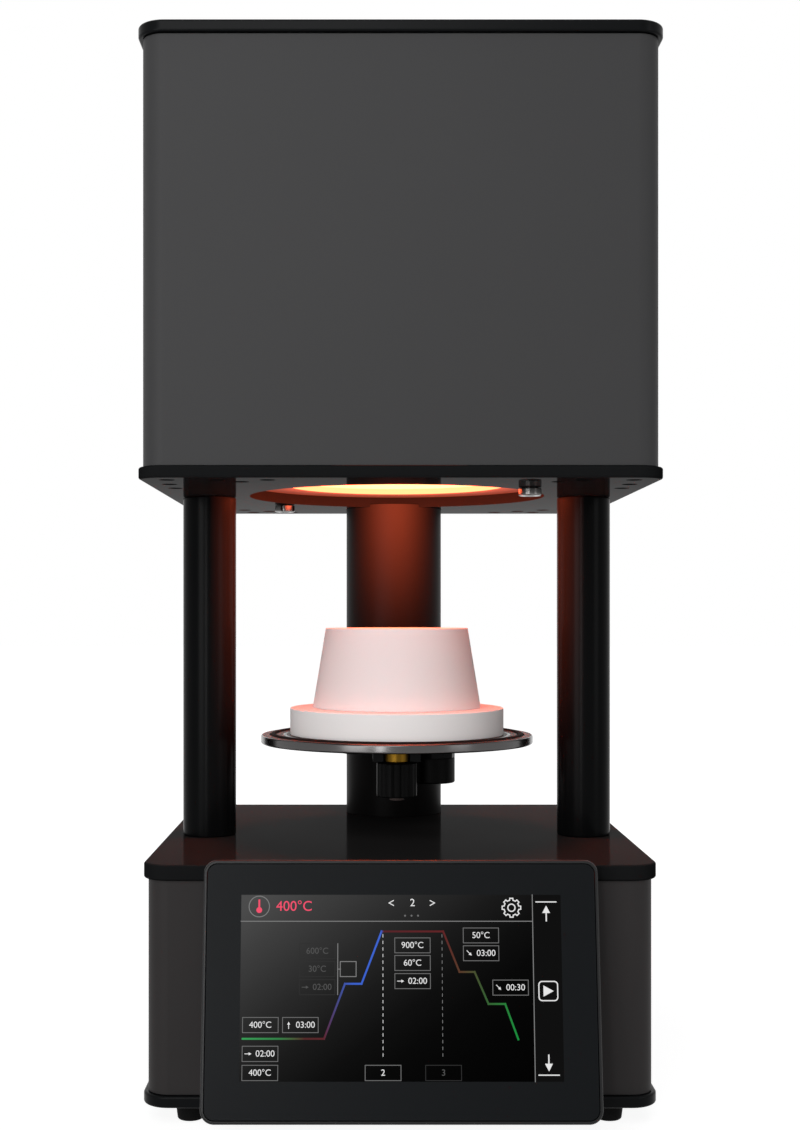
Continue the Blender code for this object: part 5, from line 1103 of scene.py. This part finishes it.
def ramp_ink(name, direction, reach, stops):
    """An ink whose colour changes along a direction, over the reach between two places."""
    material = screen_ink(name)
    tree = material.node_tree
    along = vector_maths(tree, "DOT_PRODUCT", object_place(tree), direction, output="Value")
    return shaded(material, {"Emission Color": ramp(tree, mapped(tree, along, *reach), stops)})


def patch(name, shapes, ink):
    """Flat shapes of the picture, as one piece in one ink."""
    made = mesh_object("screen_" + name, moved(joined(shapes), display_place()))
    dressed(made, ink, "base", "screen_glass")


def add_fields(inks):
    """The fields with their values; their arrows make one piece with the icons."""
    boxes = {"bright": [], "dim": []}
    marks = {"bright": icons(), "dim": []}
    for number, ((x, y), text, way_name, ink) in enumerate(FIELDS):
        boxes[ink] += outline_bars(box_corners((x, y), FIELD_SIZE), FIELD_LINE_WIDTH)
        shift = LABEL_SHIFT if way_name else 0
        lettering("screen_value_" + str(number), text, (x + shift, y), LABEL_SIZE, inks[ink])
        if way_name:
            way = Vector(ARROW_WAYS[way_name]).normalized()
            tip = Vector((x - FIELD_ARROW_SHIFT, y)) + way * FIELD_ARROW_REACH
            marks[ink] += arrow(tip, way, FIELD_ARROW_LENGTH, *FIELD_ARROW)
    patch("fields_bright", boxes["bright"], inks["field"])
    patch("fields_dim", boxes["dim"], inks["field_dim"])
    for ink, shapes in marks.items():
        patch("marks_" + ink, shapes, inks[ink])


def add_screen():
    """The picture on the display: header, side bar, firing curve, value fields and plain icons."""
    inks = {name: screen_ink(name, ink) for name, ink in INKS.items()}
    ground = corners(0, 0, SCREEN_WIDTH, SCREEN_HEIGHT)
    side = corners(SIDE_BAR, 0, SCREEN_WIDTH, SCREEN_HEIGHT)
    levels = [(place, (level, level, level)) for place, level in GROUND_LEVELS]
    ground_ink = ramp_ink("ground", GROUND_DIRECTION, GROUND_REACH, levels)
    patch("ground", [ink_patch(ground, GROUND_LAYER)], ground_ink)
    patch("side", [ink_patch(side, CURVE_LAYER)], inks["side"])
    lines = [bar(*ends, LINE_WIDTH) for ends in LINES] + ring_bars(*BADGE, LINE_WIDTH)
    patch("lines", lines + outline_bars(box_corners(*SCALE_BOX), LINE_WIDTH), inks["line"])
    strokes = [bar(start, end, CURVE_WIDTH, CURVE_LAYER) for start, end in zip(CURVE, CURVE[1:])]
    reach = SCREEN_WIDTH / 2 * POINT
    colours = [(place, colour(*shown)) for place, shown in CURVE_COLOURS]
    patch("curve", strokes, ramp_ink("curve", (1, 0, 0), (-reach, reach), colours))
    for x, ink in DASH_LINES:
        tops = [DASH_TOP + number * DASH_PITCH for number in range(DASH_COUNT)]
        patch("dashes_" + ink, [bar((x, y), (x, y + DASH_LENGTH), DASH_WIDTH) for y in tops], inks[ink])
    add_fields(inks)
    patch("thermometer", [bar(*THERMOMETER), ink_patch(circle(*THERMOMETER_BULB))], inks["red"])
    for name, text, centre, size, ink in TITLES:
        lettering(name, text, centre, size, inks[ink])
    patch("pages", [ink_patch(circle(*PAGE_DOT, place)) for place in PAGE_DOT_PLACES], inks["field"])


def add_tube(node, points, radius, slot_name):
    """A smooth round tube through the points, as a curve of one open spline."""
    data = bpy.data.curves.new(node + "_fine", "CURVE")
    data.dimensions = "3D"
    data.bevel_depth = radius
    data.bevel_resolution = TUBE_RESOLUTION
    data.use_fill_caps = True
    spline = data.splines.new("POLY")
    spline.points.add(len(points) - 1)
    for spot, point in zip(spline.points, points):
        spot.co = (*point, 1.0)
    spline.use_smooth = True
    return dressed(linked(node + "_fine", data), finishes[slot_name], "base", slot_name, node)


def line_points(start, handle, side, landing, ceiling_z):
    """A hose or cable from the base up a front column, over and down onto the chamber."""
    forward = Vector((0, -1, 0))
    up = Vector((0, 0, 1))
    straight = 2 * LINE_RADIUS
    leaving = start + forward * straight
    rising = Vector((side * column_side, column_y, ceiling_z))
    count = round((rising - leaving).length / LINE_PITCH) + 2
    first = interpolate_bezier(leaving, leaving + forward * handle, rising - up * LINE_END_HANDLE, rising,
                               count)
    turn = (column_side - abs(landing.x)) / 2
    centre = (abs(landing.x) + turn, landing.z + LINE_TURN_CLEARANCE)
    over = [Vector((side * x, column_y, z)) for x, z in arc(turn, 0, math.pi, LINE_BEND_STEP_COUNT, centre)]
    end = landing + up * PLAY
    return [start] + first + over + [end + up * straight, end]


def add_lines():
    ceiling_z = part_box("base_top_plate")[0].z
    nipple = middle_of("vacuum_nipple")
    relay = middle_of("heater_relay")
    hose_start = Vector((nipple.x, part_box("vacuum_valve")[0].y - PLAY, nipple.z))
    lead_start = Vector((relay.x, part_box("heater_relay")[0].y - PLAY, relay.z))
    for node, start, handle, side, landing_node, slot_name in (
        ("vacuum_hose", hose_start, HOSE_START_HANDLE, -1, "vacuum_port", "hose_silicone"),
        ("heater_leads", lead_start, LEAD_START_HANDLE, 1, "heater_terminal", "lead_silicone"),
    ):
        landing = Vector((middle_of(landing_node).x, column_y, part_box(landing_node)[1].z))
        points = line_points(start, handle, side, landing, ceiling_z)
        made = add_tube(node, points, LINE_RADIUS, slot_name)


def add_coil():
    """The heating coil as one smooth helix on the wall, its ends upright."""
    low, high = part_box("heating_coil")
    wall_low, wall_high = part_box("muffle_wall")
    radius = HEATER_RADIUS - COIL_WALL_GAP - COIL_WIRE_RADIUS
    first_z = wall_low.z + COIL_END_GAP
    rise = wall_high.z + PLAY - COIL_END_GAP - first_z
    count = COIL_TURN_COUNT * COIL_STEP_COUNT
    landing = math.atan2(column_y - axis_y, middle_of("heater_terminal").x)
    plan = arc(radius, landing - COIL_TURN_COUNT * math.tau, landing, count, firing_axis)
    route = [(x, y, first_z + rise * step / count) for step, (x, y) in enumerate(plan)]
    route = [(*plan[0], low.z)] + route + [(*plan[-1], high.z)]
    add_tube("heating_coil", route, COIL_WIRE_RADIUS, "hot_wire")


def add_spindle():
    """The lead screw with its four-start thread."""
    low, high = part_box("lift_spindle")
    outer = radius_of("lift_spindle")

    def threaded(radius, z, angle):
        phase = THREAD_START_COUNT * (angle - math.tau * z / THREAD_LEAD)
        return radius - THREAD_DEPTH * (1 + math.sin(phase)) / 2, z

    count = round((high.z - low.z) / THREAD_STEP)
    profile = [(outer, low.z + (high.z - low.z) * step / count) for step in range(count + 1)]
    shape = carved(profile, (0, rear_column_y), SMALL_ROUND_COUNT, threaded, closed=False)
    fine("lift_spindle", shape, "spindle", "bare_steel")


def add_transformer():
    """A ring core under its copper windings."""
    low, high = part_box("power_transformer")
    outer = radius_of("power_transformer")
    centre = Vector(((TRANSFORMER_BORE + outer) / 2, (low.z + high.z) / 2))

    def wound(radius, z, angle):
        sink = WINDING_DEPTH * math.cos(WINDING_COUNT * angle / 2) ** 2
        inwards = (centre - Vector((radius, z))).normalized() * sink
        return radius + inwards.x, z + inwards.y

    section = rounded_rectangle(outer - TRANSFORMER_BORE, high.z - low.z, TRANSFORMER_ROUND, centre=centre)
    shape = carved(section, middle_of("power_transformer"), WINDING_COUNT * EDGE_COUNT, wound)
    fine("power_transformer", shape, "base", "lacquered_copper")


def add_nipple():
    """Barbed hose nipple with its hexagon nut; its plan is turned to look out of the rear wall."""
    middle = middle_of("vacuum_nipple")
    nut = NIPPLE_REACH - PLAY - NIPPLE_NUT_THICK
    pitch = nut / (NIPPLE_BARB_COUNT + 1)
    end = NIPPLE_REACH + NIPPLE_THREAD_LENGTH
    profile = [(NIPPLE_BORE_RADIUS, 0)]
    for number in range(NIPPLE_BARB_COUNT):
        profile += [(NIPPLE_WAIST_RADIUS, number * pitch), (NIPPLE_BARB_RADIUS, (number + 1) * pitch)]
    profile += [(NIPPLE_WAIST_RADIUS, nut - pitch), (NIPPLE_WAIST_RADIUS, nut + PLAY),
                (NIPPLE_THREAD_RADIUS, nut + PLAY), (NIPPLE_THREAD_RADIUS, end), (NIPPLE_BORE_RADIUS, end)]
    inwards = towards_rear(middle.x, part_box("vacuum_nipple")[1].y, middle.z)
    made = mesh_object("vacuum_nipple_fine", moved(turned(profile, closed=True), inwards))
    ring = ring_profile(NIPPLE_WAIST_RADIUS, NIPPLE_NUT_RADIUS, nut, nut + NIPPLE_NUT_THICK, PLAY)
    cut(made, moved(turned(ring, count=HEXAGON_COUNT, closed=True), inwards), "UNION")
    dressed(made, finishes["bare_steel"], "base", "bare_steel", "vacuum_nipple")


def facing_spot(node, x, z):
    """The first spot of a node's rear side at x and z, and the way its surface faces."""
    mesh = frame["nodes"][node].data
    tree = BVHTree.FromPolygons([spot.co for spot in mesh.vertices],
                                [tuple(face.vertices) for face in mesh.polygons])
    start = Vector((x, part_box(node)[1].y + OVERRUN, z))
    place, normal = tree.ray_cast(start, Vector((0, -1, 0)))[:2]
    return Matrix.Translation(place) @ normal.to_track_quat("Z", "Y").to_matrix().to_4x4()


def add_rocker_marks():
    """The plain on and off marks of the mains switch."""
    middle = middle_of("mains_rocker")
    inner = MARK_RADIUS - MARK_WIDTH
    ring = [(inner, 0), (MARK_RADIUS, 0), (MARK_RADIUS, MARK_THICK), (inner, MARK_THICK)]
    stroke = rounded_rectangle(MARK_WIDTH, 2 * MARK_RADIUS, MARK_WIDTH / 4, STROKE_CORNER_COUNT)
    for name, rise, shape in (("on", MARK_RISE, prism(stroke, 0, MARK_THICK)),
                              ("off", -MARK_RISE, turned(ring, count=SMALL_ROUND_COUNT, closed=True))):
        place = facing_spot("mains_rocker", middle.x, middle.z + rise)
        made = mesh_object("rocker_mark_" + name, moved(shape, place))
        dressed(made, finishes["mark_white"], "rocker", "black_plastic")


def round_edges():
    """Replaces the remaining pieces with copies whose edges are rounded."""
    slots = {subpart["node"]: subpart["material_slot"] for subpart in frame["record"]["subparts"]}
    for node, body, width in EDGE_ROUNDS:
        made = linked(node + "_fine", frame["nodes"][node].data.copy())
        modifier = made.modifiers.new("rounded", "BEVEL")
        modifier.width = width
        modifier.segments = EDGE_SEGMENT_COUNT
        modifier.limit_method = "ANGLE"
        modifier.angle_limit = SHARP_ANGLE
        dressed(made, finishes[slots[node]], body, slots[node], node)


def dress_cad_nodes():
    """Gives every CAD node that stays the material of its slot."""
    for subpart in frame["record"]["subparts"]:
        mesh = frame["nodes"][subpart["node"]].data
        mesh.materials.clear()
        mesh.materials.append(finishes[subpart["material_slot"]])
        smoothed(mesh)


def area_lamp(name, place, target, width, height, radiance, shade=WHITE):
    data = bpy.data.lights.new(name, "AREA")
    data.shape = "RECTANGLE"
    data.size = width
    data.size_y = height
    data.energy = radiance * math.pi * width * height
    data.color = shade
    lamp = linked(name, data)
    lamp.location = place
    lamp.rotation_euler = (Vector(target) - Vector(place)).to_track_quat("-Z", "Y").to_euler()
    return lamp


def seen_rays(tree):
    """1 for camera, glossy and transmission rays, and 0 for the rays that light surfaces."""
    path = add_node(tree, "ShaderNodeLightPath").outputs
    first = maths(tree, "MAXIMUM", path["Is Camera Ray"], path["Is Glossy Ray"])
    return maths(tree, "MAXIMUM", first, path["Is Transmission Ray"])


def add_world():
    world = bpy.data.worlds.new("studio")
    bpy.context.scene.world = world
    world.use_nodes = True
    tree = world.node_tree
    ground = tree.nodes["Background"].inputs
    plug(tree, ground["Color"], (*WHITE, 1))
    plug(tree, ground["Strength"], mapped(tree, seen_rays(tree), 0.0, 1.0, AMBIENT_STRENGTH, 1.0))


def add_floor():
    """Pale floor that shows white and keeps the object's shadow."""
    reach = FLOOR_HALF_WIDTH
    shape = bmesh.new()
    shape.faces.new([shape.verts.new((x, y, 0)) for x, y in corners(-reach, -reach, reach, reach)])
    floor = mesh_object("floor", shape)
    material = shaded(new_material("floor"), {"Base Color": (*FLOOR_COLOUR, 1), "Roughness": 1.0,
                                              "Specular IOR Level": 0.0})
    tree = material.node_tree
    away = vector_maths(tree, "LENGTH", object_place(tree), output="Value")
    light = mapped(tree, away, *FLOOR_REACHES, *FLOOR_LIGHTS)
    lit(material, maths(tree, "MULTIPLY", seen_rays(tree), light), WHITE)
    floor.data.materials.append(material)


def add_studio():
    for name, place, width, height, radiance in LAMPS:
        area_lamp(name, place, LAMP_TARGET, width, height, radiance)
    glow_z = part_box("muffle_collar")[0].z + GLOW_LAMP_RISE
    width = 2 * GLOW_LAMP_RADIUS
    lamp = area_lamp("chamber_glow", (*firing_axis, glow_z), (*firing_axis, 0), width, width,
                     GLOW_LAMP_RADIANCE, GLOW_COLOUR)
    lamp.data.shape = "DISK"
    lamp.visible_camera = False
    add_world()
    add_floor()


def add_camera():
    data = bpy.data.cameras.new("camera")
    data.lens = CAMERA_LENS
    data.shift_x, data.shift_y = CAMERA_SHIFT
    camera = linked("camera", data)
    camera.location = CAMERA_PLACE
    camera.rotation_euler = (math.pi / 2, 0, 0)
    bpy.context.scene.camera = camera


add_camera()
add_studio()
bpy.context.scene.view_settings.view_transform = "Standard"
dress_cad_nodes()
add_plates()
add_shells()
add_columns()
add_table()
add_clamp()
add_chamber()
add_screws()
add_feet()
add_display_body()
add_screen()
add_lines()
add_coil()
add_spindle()
add_transformer()
add_nipple()
add_rocker_marks()
round_edges()
